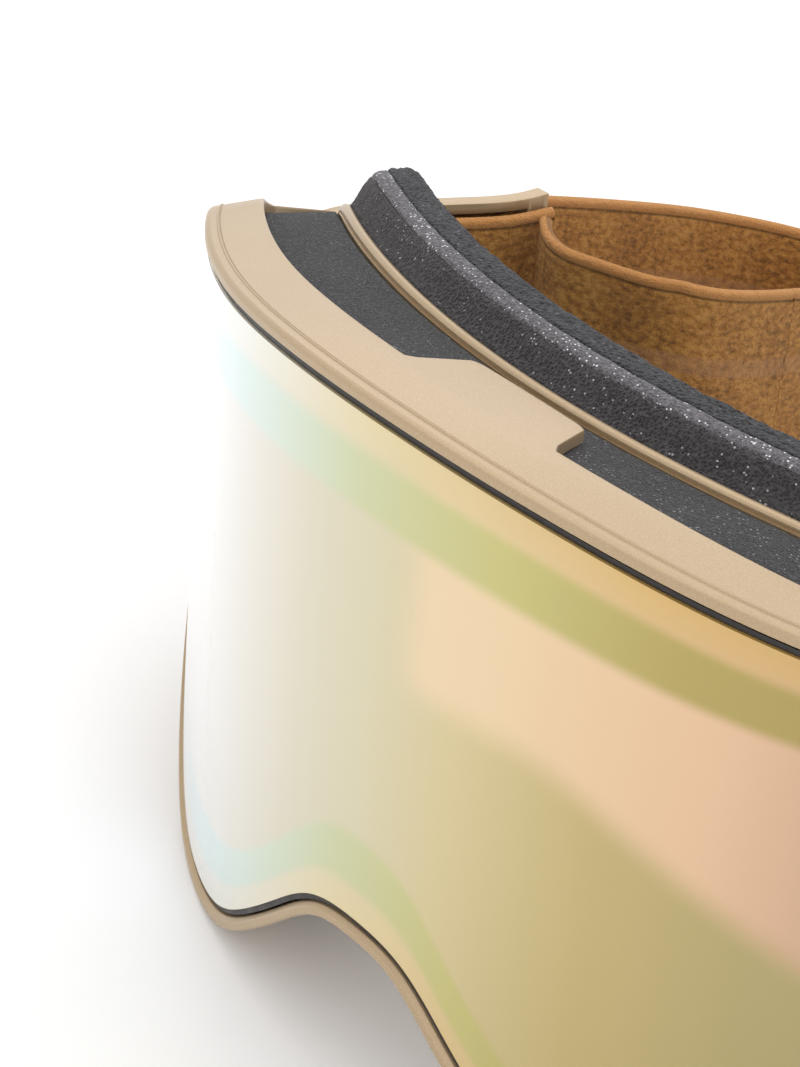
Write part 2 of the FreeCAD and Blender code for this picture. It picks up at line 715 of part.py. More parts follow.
def slider_body(side, name):
    """The slider: a block, with the strap's channel and the gaps between its bars pocketed out."""
    body = doc.addObject("PartDesign::Body", "slider_" + name)
    plane = [f for f in body.Origin.OriginFeatures if f.Role == "YZ_Plane"][0]

    def rectangle(title, support, low, high):
        sketch = body.newObject("Sketcher::SketchObject", title + "_" + name)
        sketch.AttachmentSupport = [(support, "")]
        sketch.MapMode = "FlatFace"
        corners = [(low[0], low[1]), (high[0], low[1]), (high[0], high[1]), (low[0], high[1])]
        for index, corner in enumerate(corners):
            after = corners[(index + 1) % 4]
            sketch.addGeometry(Part.LineSegment(Vector(*corner, 0), Vector(*after, 0)))
        return sketch

    block = body.newObject("PartDesign::Pad", "slider_block_" + name)
    block.Profile = rectangle("block", plane, (inner_face, -half_height), (outer_face, half_height))
    block.setExpression("Length", "sizes.slider_length")
    block.Midplane = True
    channel = body.newObject("PartDesign::Pocket", "slider_channel_" + name)
    channel.Profile = rectangle("channel", plane,
                                (inner_bar_face, -half_opening), (CHANNEL_HALF, half_opening))
    channel.Type = "ThroughAll"
    channel.Midplane = True
    front = [f for f in body.Origin.OriginFeatures if f.Role == "XZ_Plane"][0]
    window = size("slider_length") / 2 - size("slider_bar")
    outer_gap = body.newObject("PartDesign::Pocket", "slider_outer_gap_" + name)
    outer_gap.Profile = rectangle("outer_gap", front, (-window, -half_opening), (window, half_opening))
    outer_gap.Length = outer_face + 1
    outer_gap.Reversed = False
    inner_cuts = []
    middle = size("slider_bar") / 2
    for index, (low, high) in enumerate(((-half_length - 1, -middle), (middle, half_length + 1))):
        cut = body.newObject("PartDesign::Pocket", "slider_inner_gap_%d_%s" % (index, name))
        cut.Profile = rectangle("inner_gap_%d" % index, front, (low, -half_opening), (high, half_opening))
        cut.Length = -inner_face + 1
        cut.Reversed = True
        inner_cuts.append(cut)
    doc.recompute()
    before = block.Shape.Volume
    opening = 2 * half_opening
    wanted = before - opening * size("slider_length") * (CHANNEL_HALF - inner_bar_face)
    wanted -= opening * 2 * window * bar
    wanted -= opening * (size("slider_length") - size("slider_bar")) * bar
    if abs(body.Shape.Volume - wanted) > 1:
        outer_gap.Reversed = True
        for cut in inner_cuts:
            cut.Reversed = False
        doc.recompute()
    if abs(body.Shape.Volume - wanted) > 1:
        raise RuntimeError("slider pockets cut %.1f, not %.1f" % (body.Shape.Volume, wanted))
    body.Placement = slider_placement(side)
    return keep(body, "slider_" + name)


LOOP_LEAN = math.radians(240)
LOOP_REACH = 10.6


def slider_loop():
    """The inner band's end, folded round the slider's middle bar: a drop shape in plan."""
    middle = Vector(0, inner_bar_face - bar / 2, 0)
    hole = math.hypot(bar / 2, size("slider_bar") / 2) + 0.1
    eye = hole + 1.3
    half = band_height / 2 - 0.8
    way = Vector(math.cos(LOOP_LEAN), math.sin(LOOP_LEAN), 0)
    across = Vector(-way.y, way.x, 0)
    tip = middle + way * LOOP_REACH
    points = [middle + across * eye, tip + across * half_strap, tip - across * half_strap,
              middle - across * eye, middle + across * eye]
    tail = Part.Face(Part.makePolygon(points)).extrude(Vector(0, 0, 2 * half))
    drop = tail.fuse(Part.makeCylinder(eye, 2 * half, middle))
    drop = drop.cut(Part.makeCylinder(hole, 2 * half, middle))
    drop.translate(Vector(0, 0, -half))
    return drop.removeSplitter()


for side, name in ((1, "left"), (-1, "right")):
    keep_shape(outrigger(side), "outrigger_" + name)
    hinge_pin(side, name)
    keep_shape(strap_loop(side), "strap_loop_" + name)
    keep_shape(strap_piece(plan_band(sided(SIDE_LINE, side), -half_strap, half_strap)),
               "strap_side_band_" + name)
    keep_shape(strap_piece(plan_band(sided(INNER_LINE, side), -half_strap, half_strap)),
               "strap_inner_band_" + name)
    slider_body(side, name)
    loop_item = doc.addObject("Part::Feature", "slider_loop_shape_" + name)
    loop_item.Shape = slider_loop()
    keep(loop_item, "slider_loop_" + name, slider_placement(side))

# ---------------------------------------------------------------- check and write
doc.recompute()
for item in doc.Objects:
    if "Invalid" in item.State or "Error" in item.State:
        raise RuntimeError("%s failed: %s" % (item.Label, item.State))
for item in subparts:
    shape = item.Shape
    if shape.isNull() or not shape.isValid() or shape.Volume <= 0:
        raise RuntimeError("%s has no sound shape" % item.Label)
os.makedirs("parts", exist_ok=True)
low = Vector(999, 999, 999)
high = Vector(-999, -999, -999)
for item in subparts:
    box = item.Shape.optimalBoundingBox()
    low = Vector(min(low.x, box.XMin), min(low.y, box.YMin), min(low.z, box.ZMin))
    high = Vector(max(high.x, box.XMax), max(high.y, box.YMax), max(high.z, box.ZMax))
    print("%-26s %2d solids %8.1f mm3" % (item.Label, len(item.Shape.Solids), item.Shape.Volume))
    item.Shape.exportStep("parts/%s.step" % item.Label)
print("overall %.2f x %.2f x %.2f mm, from %s to %s" % (*(high - low), low, high))
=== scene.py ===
# %% [markdown]
# # Ski goggles, looked at closely
#
# A pair of goggles is three materials held in one curve: painted plastic, a mirrored
# lens and soft black foam, with an elastic strap behind. The CAD frame gives every size
# and every moving body. This lesson gives each piece its finish, and makes again, with
# numpy, the pieces whose shape a plain solid only hints at.

# %% The frame and its measures
import json
import bmesh
import bpy
import numpy as np
from mathutils import Matrix, Vector

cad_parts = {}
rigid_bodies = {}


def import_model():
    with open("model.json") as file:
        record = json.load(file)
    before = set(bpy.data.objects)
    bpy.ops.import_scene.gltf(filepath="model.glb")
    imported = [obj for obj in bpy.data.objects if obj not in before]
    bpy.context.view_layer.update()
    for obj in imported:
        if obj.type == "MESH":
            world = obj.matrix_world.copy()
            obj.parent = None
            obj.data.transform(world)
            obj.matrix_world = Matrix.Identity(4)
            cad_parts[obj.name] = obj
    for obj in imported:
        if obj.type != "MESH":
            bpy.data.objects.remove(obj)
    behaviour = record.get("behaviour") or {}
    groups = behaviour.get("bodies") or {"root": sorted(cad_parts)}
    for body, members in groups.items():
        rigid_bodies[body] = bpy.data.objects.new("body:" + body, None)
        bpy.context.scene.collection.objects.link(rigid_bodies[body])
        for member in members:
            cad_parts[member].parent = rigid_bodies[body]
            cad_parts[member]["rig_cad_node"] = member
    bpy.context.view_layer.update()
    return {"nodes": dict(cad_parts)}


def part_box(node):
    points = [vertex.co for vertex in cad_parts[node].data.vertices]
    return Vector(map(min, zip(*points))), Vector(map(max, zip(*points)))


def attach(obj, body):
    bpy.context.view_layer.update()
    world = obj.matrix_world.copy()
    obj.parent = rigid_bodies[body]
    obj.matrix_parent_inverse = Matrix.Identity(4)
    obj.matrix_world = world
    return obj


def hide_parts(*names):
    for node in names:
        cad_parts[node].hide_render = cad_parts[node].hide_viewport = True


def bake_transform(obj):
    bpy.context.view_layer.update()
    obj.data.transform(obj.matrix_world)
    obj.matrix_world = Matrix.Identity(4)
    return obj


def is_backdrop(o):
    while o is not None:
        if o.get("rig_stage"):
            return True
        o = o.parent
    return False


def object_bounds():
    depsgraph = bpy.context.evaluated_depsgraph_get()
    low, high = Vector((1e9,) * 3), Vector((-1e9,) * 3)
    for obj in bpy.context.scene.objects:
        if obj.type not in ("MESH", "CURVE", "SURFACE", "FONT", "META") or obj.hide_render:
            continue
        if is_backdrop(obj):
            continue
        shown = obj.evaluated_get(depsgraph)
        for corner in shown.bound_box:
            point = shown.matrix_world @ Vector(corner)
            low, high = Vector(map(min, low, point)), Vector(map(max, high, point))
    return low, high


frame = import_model()
MM = 0.001
pin_low, pin_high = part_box("hinge_pin_left")
loop_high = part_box("strap_loop_left")[1]
PIN_BACK = 50.0       # the hinge axis, behind the top middle of the lens
STRAP_TOP = -27.6     # the strap's top edge, against the top middle of the lens
# The design is drawn from the top middle of the lens. This is that point in the frame.
DATUM = np.array([0.0, (pin_low.y + pin_high.y) / 2 / MM - PIN_BACK, loop_high.z / MM - STRAP_TOP])
print("datum, mm:", DATUM.round(2))

# %% [markdown]
# ## Grids into meshes
#
# Every new surface here is a grid of points: rows run along the piece, and columns run
# round its section. One helper turns any such grid into a mesh. Working on whole arrays
# keeps it quick at a hundred thousand points, where a loop in Python would crawl.

# %% A mesh from a grid


def grid_mesh(name, points, close_rows=False, close_columns=True, caps=False, uv=None):
    """Joins point (i, j) to (i+1, j), (i+1, j+1) and (i, j+1) in one square per cell.

    Points are in mm from the datum. A closed direction wraps from its last line to its
    first. A cap draws an end section together at its own middle."""
    points = np.asarray(points, float)
    if caps:
        ends = [points[:1].mean(1, keepdims=True).repeat(points.shape[1], 1),
                points[-1:].mean(1, keepdims=True).repeat(points.shape[1], 1)]
        points = np.concatenate([ends[0], points, ends[1]])
        if uv is not None:
            uv = np.concatenate([uv[:1], uv, uv[-1:]])
    rows, columns = points.shape[:2]
    number = np.arange(rows * columns).reshape(rows, columns)
    across = number if close_columns else number[:, :-1]
    beside = np.roll(number, -1, 1) if close_columns else number[:, 1:]
    if close_rows:
        next_across, next_beside = np.roll(across, -1, 0), np.roll(beside, -1, 0)
    else:
        next_across, next_beside = across[1:], beside[1:]
        across, beside = across[:-1], beside[:-1]
    quads = np.stack([across, next_across, next_beside, beside], -1).reshape(-1, 4)
    mesh = bpy.data.meshes.new(name)
    mesh.vertices.add(rows * columns)
    mesh.vertices.foreach_set("co", ((points + DATUM) * MM).astype(np.float32).ravel())
    mesh.loops.add(quads.size)
    mesh.loops.foreach_set("vertex_index", quads.astype(np.int32).ravel())
    mesh.polygons.add(len(quads))
    mesh.polygons.foreach_set("loop_start", np.arange(0, quads.size, 4, dtype=np.int32))
    mesh.polygons.foreach_set("loop_total", np.full(len(quads), 4, np.int32))
    mesh.update(calc_edges=True)
    if uv is not None:
        layer = mesh.uv_layers.new(name="surface")
        layer.data.foreach_set("uv", uv.reshape(-1, 2)[quads.ravel()].astype(np.float32).ravel())
    if caps:
        work = bmesh.new()
        work.from_mesh(mesh)
        bmesh.ops.remove_doubles(work, verts=work.verts, dist=1e-7)
        work.to_mesh(mesh)
        work.free()
    mesh.validate()
    return finished(name, mesh)


def finished(name, mesh):
    """A smooth-shaded piece at the origin, with its faces turned outwards if they aren't."""
    work = bmesh.new()
    work.from_mesh(mesh)
    if work.calc_volume(signed=True) < 0:
        bmesh.ops.reverse_faces(work, faces=work.faces)
    work.to_mesh(mesh)
    work.free()
    mesh.polygons.foreach_set("use_smooth", np.ones(len(mesh.polygons), bool))
    piece = bpy.data.objects.new(name, mesh)
    bpy.context.scene.collection.objects.link(piece)
    return piece


print("grids become meshes with grid_mesh")

# %% [markdown]
# ## The two outlines
#
# The front edge follows a cylinder, and the rear edge follows a face. Each outline is a
# smooth closed curve through a few measured points, and its other half is a mirror
# image. A closed cubic spline passes through every point with no corner, which is how
# the mould for such a frame is drawn.

# %% Smooth curves through points
FRONT_HALF = [(0, 2.9), (24, 1.3), (46, -2.3), (66, -5.8), (80, -9.8), (88.5, -18.5),
              (91.5, -31.5), (90.8, -45), (87, -58.5), (80, -71.5), (70, -84), (58.5, -94),
              (46, -97.5), (34, -96), (24, -89.5), (15, -81), (7.5, -74.5), (0, -72.9)]
REAR_HALF = [(0, -1.6), (23, -2.3), (43, -4.4), (59, -7.9), (70, -13.5), (76, -24),
             (78, -37), (77.3, -50), (74, -63), (68.5, -75), (61, -85.5), (52, -92),
             (42, -93.5), (32, -89.5), (23.5, -79), (15.5, -65.5), (8, -54.5), (0, -51)]


def whole(half):
    """A half outline followed by its mirror image, as one closed run of points."""
    half = np.array(half, float)
    return np.concatenate([half, half[-2:0:-1] * [-1, 1]])


def unit(vectors):
    """Each vector of the last axis, divided by its length."""
    return vectors / np.linalg.norm(vectors, axis=-1, keepdims=True)


def distance_along(line):
    """The distance from a line's start to each of its points."""
    return np.concatenate([[0], np.cumsum(np.linalg.norm(np.diff(line, axis=0), axis=1))])


def cubic(low, high, m_low, m_high, share):
    """The cubic from low to high that leaves with slope m_low and arrives with m_high."""
    return (low * (2 * share ** 3 - 3 * share ** 2 + 1) + m_low * (share ** 3 - 2 * share ** 2 + share)
            + high * (3 * share ** 2 - 2 * share ** 3) + m_high * (share ** 3 - share ** 2))


def closed_spline(points, at):
    """Place and direction on the closed cubic through points, one unit of "at" a point.

    The slopes m solve m(i-1) + 4 m(i) + m(i+1) = 3 (p(i+1) - p(i-1)), which makes the
    curve's bending continuous."""
    count = len(points)
    rows = 4 * np.eye(count) + np.roll(np.eye(count), 1, 1) + np.roll(np.eye(count), -1, 1)
    slope = np.linalg.solve(rows, 3 * (np.roll(points, -1, 0) - np.roll(points, 1, 0)))
    at = np.asarray(at) % count
    cell = np.floor(at).astype(int)
    after = (cell + 1) % count
    share = (at - cell)[:, None]
    low, high, m_low, m_high = points[cell], points[after], slope[cell], slope[after]
    way = ((low - high) * (6 * share ** 2 - 6 * share) + m_low * (3 * share ** 2 - 4 * share + 1)
           + m_high * (3 * share ** 2 - 2 * share))
    return cubic(low, high, m_low, m_high, share), unit(way)


def open_spline(points, count):
    """Places at even steps on the cubic through points, with free ends.

    Its knots are spaced by the distance between the points."""
    points = np.array(points, float)
    knots = distance_along(points)
    gap = np.diff(knots)
    size = len(points)
    rows, right = np.zeros((size, size)), np.zeros((size, points.shape[1]))
    rows[0, :2], rows[-1, -2:] = (2, 1), (1, 2)
    chord = np.diff(points, axis=0) / gap[:, None]
    right[0], right[-1] = 3 * chord[0], 3 * chord[-1]
    inner = np.arange(1, size - 1)
    rows[inner, inner - 1], rows[inner, inner + 1] = gap[1:], gap[:-1]
    rows[inner, inner] = 2 * (gap[1:] + gap[:-1])
    right[1:-1] = 3 * (chord[:-1] * gap[1:, None] + chord[1:] * gap[:-1, None])
    slope = np.linalg.solve(rows, right)
    at = np.linspace(0, knots[-1], count)
    cell = np.clip(np.searchsorted(knots, at, "right") - 1, 0, size - 2)
    width = gap[cell][:, None]
    share = (at - knots[cell])[:, None] / width
    return cubic(points[cell], points[cell + 1], slope[cell] * width, slope[cell + 1] * width, share)


def beside(line):
    """The way along a flat line at each of its points, and the direction to its right."""
    way = unit(np.gradient(line, axis=0))
    return way, np.stack([way[:, 1], -way[:, 0]], -1)


SPANS = len(whole(FRONT_HALF))
print("outline spans:", SPANS)

# %% [markdown]
# ## A skin between the outlines
#
# Everything on the frame is placed by three numbers: how far back it is (0 at the front
# edge, 1 at the step, 2 at the bead), how far it is set in from the skin, and how far
# it is pushed straight back. The lip, the bead, the foams and the lens all come from
# this one formula, so they always fit each other.

# %% The skin formula
LENS_RADIUS = 101.4
STEP_BACK, STEP_TAPER = 8.3, 0.9


def on_lens(along, up):
    """(R sin(s/R), R (1 - cos(s/R)), z): a point at arc length s on the lens's cylinder."""
    return np.stack([LENS_RADIUS * np.sin(along / LENS_RADIUS),
                     LENS_RADIUS * (1 - np.cos(along / LENS_RADIUS)), up], -1)


def face_line(across):
    """How far back the bead lies: 24.7 + 12.4 (x/50)^2 + 0.64 (x/50)^4."""
    return 24.7 + 12.4 * (across / 50) ** 2 + 0.64 * (across / 50) ** 4


def outwards(way):
    """The direction out of an outline that runs clockwise: its own way, turned to the left."""
    return np.stack([-way[:, 1], way[:, 0]], -1)


def skin(at, corners):
    """Rows of points: one row per place round the frame, one column per section corner.

    Up to depth 1 a point is the front outline set in, carried straight back. From 1 to
    2 it is mixed from the step to the rear outline."""
    front, front_way = closed_spline(whole(FRONT_HALF), at)
    rear, rear_way = closed_spline(whole(REAR_HALF), at)
    front_out, rear_out = outwards(front_way), outwards(rear_way)
    columns = []
    for depth, inset, back in corners:
        depth, inset, back = (np.broadcast_to(np.asarray(value, float), at.shape)[:, None]
                              for value in (depth, inset, back))
        share = np.clip(depth, 0, 1)
        place = front - front_out * (inset + share * STEP_TAPER)
        point = on_lens(place[:, 0], place[:, 1])
        point[:, 1] += (share * STEP_BACK)[:, 0]
        place = rear - rear_out * inset
        behind = np.stack([place[:, 0], face_line(place[:, 0]), place[:, 1]], -1)
        point = point + (behind - point) * np.clip(depth - 1, 0, 1)
        point[:, 1] += back[:, 0]
        columns.append(point)
    return np.stack(columns, 1)


def rounded(points, radii, steps=4):
    """Each section corner becomes a small arc between two points on its sides.

    The arc is (1-t)^2 A + 2t(1-t) P + t^2 B, and one more point past each end of it keeps
    the flat between two corners flat."""
    before, after = np.roll(points, 1, 1) - points, np.roll(points, -1, 1) - points
    length_before = np.linalg.norm(before, axis=2, keepdims=True) + 1e-9
    length_after = np.linalg.norm(after, axis=2, keepdims=True) + 1e-9
    columns = []
    for corner in range(points.shape[1]):
        reach = np.minimum(radii[corner], 0.4 * np.minimum(length_before, length_after)[:, corner])
        to_before = before[:, corner] / length_before[:, corner]
        to_after = after[:, corner] / length_after[:, corner]
        middle = points[:, corner]
        start, end = middle + to_before * reach, middle + to_after * reach
        columns.append(middle + to_before * reach * 1.2)
        for t in np.linspace(0, 1, steps + 1):
            columns.append((1 - t) ** 2 * start + 2 * t * (1 - t) * middle + t ** 2 * end)
        columns.append(middle + to_after * reach * 1.2)
    return np.stack(columns, 1)


def evened(points, count):
    """The closed section drawn again with "count" points at even steps round it."""
    closed = np.concatenate([points, points[:, :1]], 1)
    gap = np.linalg.norm(np.diff(closed, axis=1), axis=2).mean(0)
    at = np.concatenate([[0], np.cumsum(gap)])
    wanted = np.linspace(0, at[-1], count, endpoint=False)
    cell = np.clip(np.searchsorted(at, wanted, "right") - 1, 0, len(gap) - 1)
    share = ((wanted - at[cell]) / gap[cell])[None, :, None]
    return closed[:, cell] * (1 - share) + closed[:, cell + 1] * share


def places_round(count, wanted=None):
    """Even places round the frame by distance, and closer where "wanted" says so."""
    at = np.linspace(0, SPANS, 20001)
    line = skin(at, [(1.5, 0, 0)])[:, 0]
    weight = np.linalg.norm(np.diff(line, axis=0), axis=1)
    if wanted is not None:
        weight = weight * (1 + 9 * wanted(line[:-1]))
    total = np.concatenate([[0], np.cumsum(weight)])
    return np.interp(np.linspace(0, total[-1], count, endpoint=False), total, at)


print("skin at the top middle:", skin(np.array([0.0]), [(0, 0, 0), (2, 0, 0)]).round(2).tolist())

# %% [markdown]
# ## Finishes
#
# Five families of finish cover the goggles: satin paint, mirror, foam, elastic webbing
# and plain plastic. Each is a small network of nodes that reads the object's own
# coordinates or the piece's own surface map, so it stays put on the piece when the
# piece moves.

# %% A small kit for node materials


class Finish:
    """A Principled material and short ways to add and join its nodes."""

    def __init__(self, name, color, roughness, **sockets):
        self.material = bpy.data.materials.new(name)
        self.material.use_nodes = True
        self.nodes, self.links = self.material.node_tree.nodes, self.material.node_tree.links
        self.shader = self.nodes["Principled BSDF"]
        self.shader.inputs["Base Color"].default_value = (*color, 1)
        self.shader.inputs["Roughness"].default_value = roughness
        for socket, value in sockets.items():
            self.shader.inputs[socket.replace("_", " ")].default_value = value
        self.place = self.nodes.new("ShaderNodeTexCoord")

    def add(self, kind, **settings):
        node = self.nodes.new("ShaderNode" + kind)
        for key, value in settings.items():
            if hasattr(node, key):
                setattr(node, key, value)
            else:
                node.inputs[key.replace("_", " ")].default_value = value
        return node

    def join(self, source, target):
        self.links.new(source, target)

    def math(self, operation, first, second=None, third=None):
        node = self.nodes.new("ShaderNodeMath")
        node.operation = operation
        for index, value in enumerate((first, second, third)):
            if value is None:
                continue
            if isinstance(value, (int, float)):
                node.inputs[index].default_value = value
            else:
                self.join(value, node.inputs[index])
        return node.outputs[0]

    def noise(self, scale, detail=2.0, where="Object", roughness=0.5, stretch=None):
        node = self.nodes.new("ShaderNodeTexNoise")
        node.inputs["Scale"].default_value = scale
        node.inputs["Detail"].default_value = detail
        node.inputs["Roughness"].default_value = roughness
        source = self.place.outputs[where]
        if stretch:
            mapping = self.nodes.new("ShaderNodeMapping")
            mapping.inputs["Scale"].default_value = stretch
            self.join(source, mapping.inputs["Vector"])
            source = mapping.outputs[0]
        self.join(source, node.inputs["Vector"])
        return node.outputs["Fac"]

    def ramp(self, value, stops, mode="LINEAR"):
        """A ramp over stops of (position, colour), where one number stands for a grey."""
        node = self.nodes.new("ShaderNodeValToRGB")
        node.color_ramp.interpolation = mode
        band = node.color_ramp.elements
        while len(band) < len(stops):
            band.new(0.5)
        for element, (position, color) in zip(band, stops):
            element.position = position
            element.color = (*color, 1) if isinstance(color, tuple) else (color, color, color, 1)
        self.join(value, node.inputs["Fac"])
        return node.outputs["Color"]

    def mix(self, share, first, second, blend="MIX"):
        node = self.nodes.new("ShaderNodeMix")
        node.data_type, node.blend_type = "RGBA", blend
        for socket, value in ((node.inputs[0], share), (node.inputs[6], first), (node.inputs[7], second)):
            if isinstance(value, (int, float)):
                socket.default_value = value
            elif isinstance(value, tuple):
                socket.default_value = (*value, 1)
            else:
                self.join(value, socket)
        return node.outputs[2]

    def bump(self, height, strength, distance):
        node = self.nodes.new("ShaderNodeBump")
        node.inputs["Strength"].default_value = strength
        node.inputs["Distance"].default_value = distance
        self.join(height, node.inputs["Height"])
        self.join(node.outputs[0], self.shader.inputs["Normal"])

    def color(self, source):
        self.join(source, self.shader.inputs["Base Color"])

    def rough(self, source, low, high):
        """Roughness from low to high, as source goes from 0.3 to 0.7."""
        self.join(self.ramp(source, [(0.3, low), (0.7, high)]), self.shader.inputs["Roughness"])

    def on(self, piece, slot_name=None):
        piece.data.materials.clear()
        piece.data.materials.append(self.material)
        return piece


print("finishes are made with Finish")

# %% [markdown]
# ### Satin paint, mirror, foams, webbing and plastics
#
# The paint is champagne gold with very fine metal flakes, so its colour barely changes
# and its gloss is broad. The mirror's colour runs in bands that follow the outline, and
# from pale blue-grey at one side to dark gold at the other: that run is painted reflection
# over the film's own colour. Foam is nearly black with open cells, a few of them painted bright as glints.

# %% The paint
paint = Finish("champagne_paint", (0.40, 0.29, 0.17), 0.34, Metallic=0.5, Coat_Weight=0.15,
               Coat_Roughness=0.25)
flake = paint.noise(9000, 1)
drift = paint.noise(35, 3)
paint.color(paint.mix(paint.ramp(flake, [(0.3, 0), (0.75, 1)]),
                      paint.mix(drift, (0.375, 0.262, 0.150), (0.42, 0.30, 0.178)), (0.52, 0.395, 0.25)))
paint.rough(drift, 0.33, 0.42)
paint.bump(flake, 0.12, 0.00004)
print("paint:", paint.material.name)

# %% The mirror, whose colour lies in a map: u along the lens, v from its edge inwards
mirror = Finish("mirror_film", (0.8, 0.7, 0.4), 0.16, Metallic=0.35, Coat_Weight=1.0,
                Coat_Roughness=0.04, Coat_IOR=1.6)
split = mirror.add("SeparateXYZ")
mirror.join(mirror.place.outputs["UV"], split.inputs[0])
along, inward = split.outputs[0], split.outputs[1]
wander = mirror.noise(14, 2)
drifting = mirror.math("MULTIPLY_ADD", wander, 0.05, mirror.math("ADD", along, -0.025))
# The run of these three ramps, from pale blue-grey at one end of the lens to dark gold at the other, is
# painted reflection over the film's own colour.
field = mirror.ramp(drifting, [(0.0, (0.80, 0.84, 0.88)), (0.24, (0.78, 0.78, 0.76)),
                               (0.325, (0.69, 0.65, 0.57)), (0.41, (0.62, 0.565, 0.41)),
                               (0.49, (0.60, 0.54, 0.34)), (0.57, (0.595, 0.485, 0.235)),
                               (0.69, (0.47, 0.36, 0.12)), (0.80, (0.38, 0.30, 0.10)),
                               (1.0, (0.30, 0.24, 0.09))])
band = mirror.ramp(drifting, [(0.0, (0.62, 0.78, 0.84)), (0.26, (0.60, 0.76, 0.78)),
                              (0.38, (0.56, 0.64, 0.50)), (0.47, (0.52, 0.54, 0.28)),
                              (0.60, (0.50, 0.45, 0.13)), (0.72, (0.39, 0.30, 0.055)),
                              (0.85, (0.33, 0.24, 0.035)), (1.0, (0.28, 0.21, 0.04))])
rim = mirror.ramp(drifting, [(0.0, (0.82, 0.86, 0.90)), (0.30, (0.74, 0.73, 0.66)),
                             (0.47, (0.68, 0.56, 0.30)), (0.70, (0.60, 0.38, 0.11)),
                             (1.0, (0.46, 0.26, 0.07))])
edge = mirror.math("MULTIPLY_ADD", wander, 0.03, mirror.math("ADD", inward, -0.015))
in_band = mirror.ramp(edge, [(0.0, 0), (0.05, 0.05), (0.09, 1), (0.185, 1), (0.225, 0)], "EASE")
mirror_edge = mirror.ramp(edge, [(0.0, 1), (0.045, 0.85), (0.10, 0)], "EASE")
# A peach patch over the wearer's left brow is a painted reflection laid into the film's colour. The lower
# edge of that patch is level at first and then slopes down outwards.
rise = mirror.add("SeparateXYZ")
mirror.join(mirror.place.outputs["Object"], rise.inputs[0])
lower_edge = mirror.math("SMOOTH_MIN", mirror.math("MULTIPLY_ADD", along, -0.085, 0.1207), 0.0663, 0.004)
above = mirror.math("MULTIPLY_ADD", mirror.math("SUBTRACT", rise.outputs[2], lower_edge), 150.0, 0.5)
ease_in = [(0.0, 0), (1.0, 1)]
inner_edge = mirror.math("MULTIPLY_ADD", mirror.math("SUBTRACT", along, 0.525), 22.0, 0.5)
painted_reflection_patch = mirror.math("MULTIPLY", mirror.ramp(above, ease_in, "EASE"), mirror.ramp(inner_edge, ease_in, "EASE"))
peach = mirror.ramp(drifting, [(0.0, (0.76, 0.62, 0.42)), (0.60, (0.76, 0.56, 0.33)),
                               (0.76, (0.72, 0.45, 0.27)), (0.84, (0.56, 0.33, 0.20)),
                               (1.0, (0.42, 0.25, 0.16))])
# The painted reflection patch is mixed over the field here.
field_with_painted_reflection = mirror.mix(mirror.math("MULTIPLY", painted_reflection_patch, 0.92), field, peach)
mirror.color(mirror.mix(mirror_edge, mirror.mix(in_band, field_with_painted_reflection, band), rim))
print("mirror:", mirror.material.name)

# %% Foams and fleece


def foam_finish(name, dark, light, painted_glint_color, painted_glint_share, cell, bump_depth, roughness=0.92):
    """Cells are a Voronoi pattern: dark pores, lighter walls, and a few small cells painted bright as painted
    glints.
    """
    foam = Finish(name, dark, roughness, Specular_IOR_Level=0.35, Sheen_Weight=0.12, Sheen_Roughness=0.6)
    pores = foam.add("TexVoronoi")
    pores.inputs["Scale"].default_value = cell
    foam.join(foam.place.outputs["Object"], pores.inputs["Vector"])
    grain = foam.noise(cell * 1.7, 3)
    patchy = foam.noise(60, 3)
    walls = foam.math("MULTIPLY", pores.outputs["Distance"], foam.math("ADD", grain, 0.35))
    base = foam.mix(foam.ramp(walls, [(0.15, 0), (0.75, 1)]), dark, light)
    base = foam.mix(foam.ramp(patchy, [(0.4, 0), (0.7, 0.35)]), base, light)
    flecks = foam.add("TexVoronoi")
    flecks.inputs["Scale"].default_value = cell * 1.15
    foam.join(foam.place.outputs["Object"], flecks.inputs["Vector"])
    chance = foam.add("SeparateXYZ")
    foam.join(flecks.outputs["Color"], chance.inputs[0])
    small = foam.math("LESS_THAN", flecks.outputs["Distance"], foam.math("MULTIPLY", patchy, 0.7))
    # Painted glints: a few small cells take a bright colour, standing in for light caught by the foam.
    painted_glint_mask = foam.math("MULTIPLY", small, foam.math("LESS_THAN", chance.outputs[0], painted_glint_share))
    foam.color(foam.mix(painted_glint_mask, base, painted_glint_color))
    foam.bump(foam.math("ADD", pores.outputs["Distance"], grain), 1.0, bump_depth)
    return foam


vent_foam = foam_finish("vent_foam_cells", (0.010, 0.009, 0.010), (0.070, 0.068, 0.072), (0.28, 0.28, 0.30),
                        0.06, 3000, 0.0003)
front_foam = foam_finish("face_foam_front", (0.006, 0.005, 0.006), (0.075, 0.066, 0.07), (0.50, 0.48, 0.50),
                         0.05, 2300, 0.00045)
ridge_foam = foam_finish("face_foam_ridge", (0.045, 0.04, 0.044), (0.19, 0.175, 0.19), (0.95, 0.95, 1.0),
                         0.20, 2300, 0.00035, 0.75)
fleece = foam_finish("face_fleece", (0.005, 0.005, 0.006), (0.060, 0.060, 0.068), (0.16, 0.16, 0.18),
                     0.04, 1700, 0.0006)
print("foams:", [f.material.name for f in (vent_foam, front_foam, ridge_foam, fleece)])

# %% Webbing, silicone, plastics and metals
STRAP_WIDTH, STRAP_THICK = 40.0, 1.8
STRIPE_HEIGHT, EDGE_SPAN = 27.0, 4.0      # up the strap, and how far in an edge's colours reach


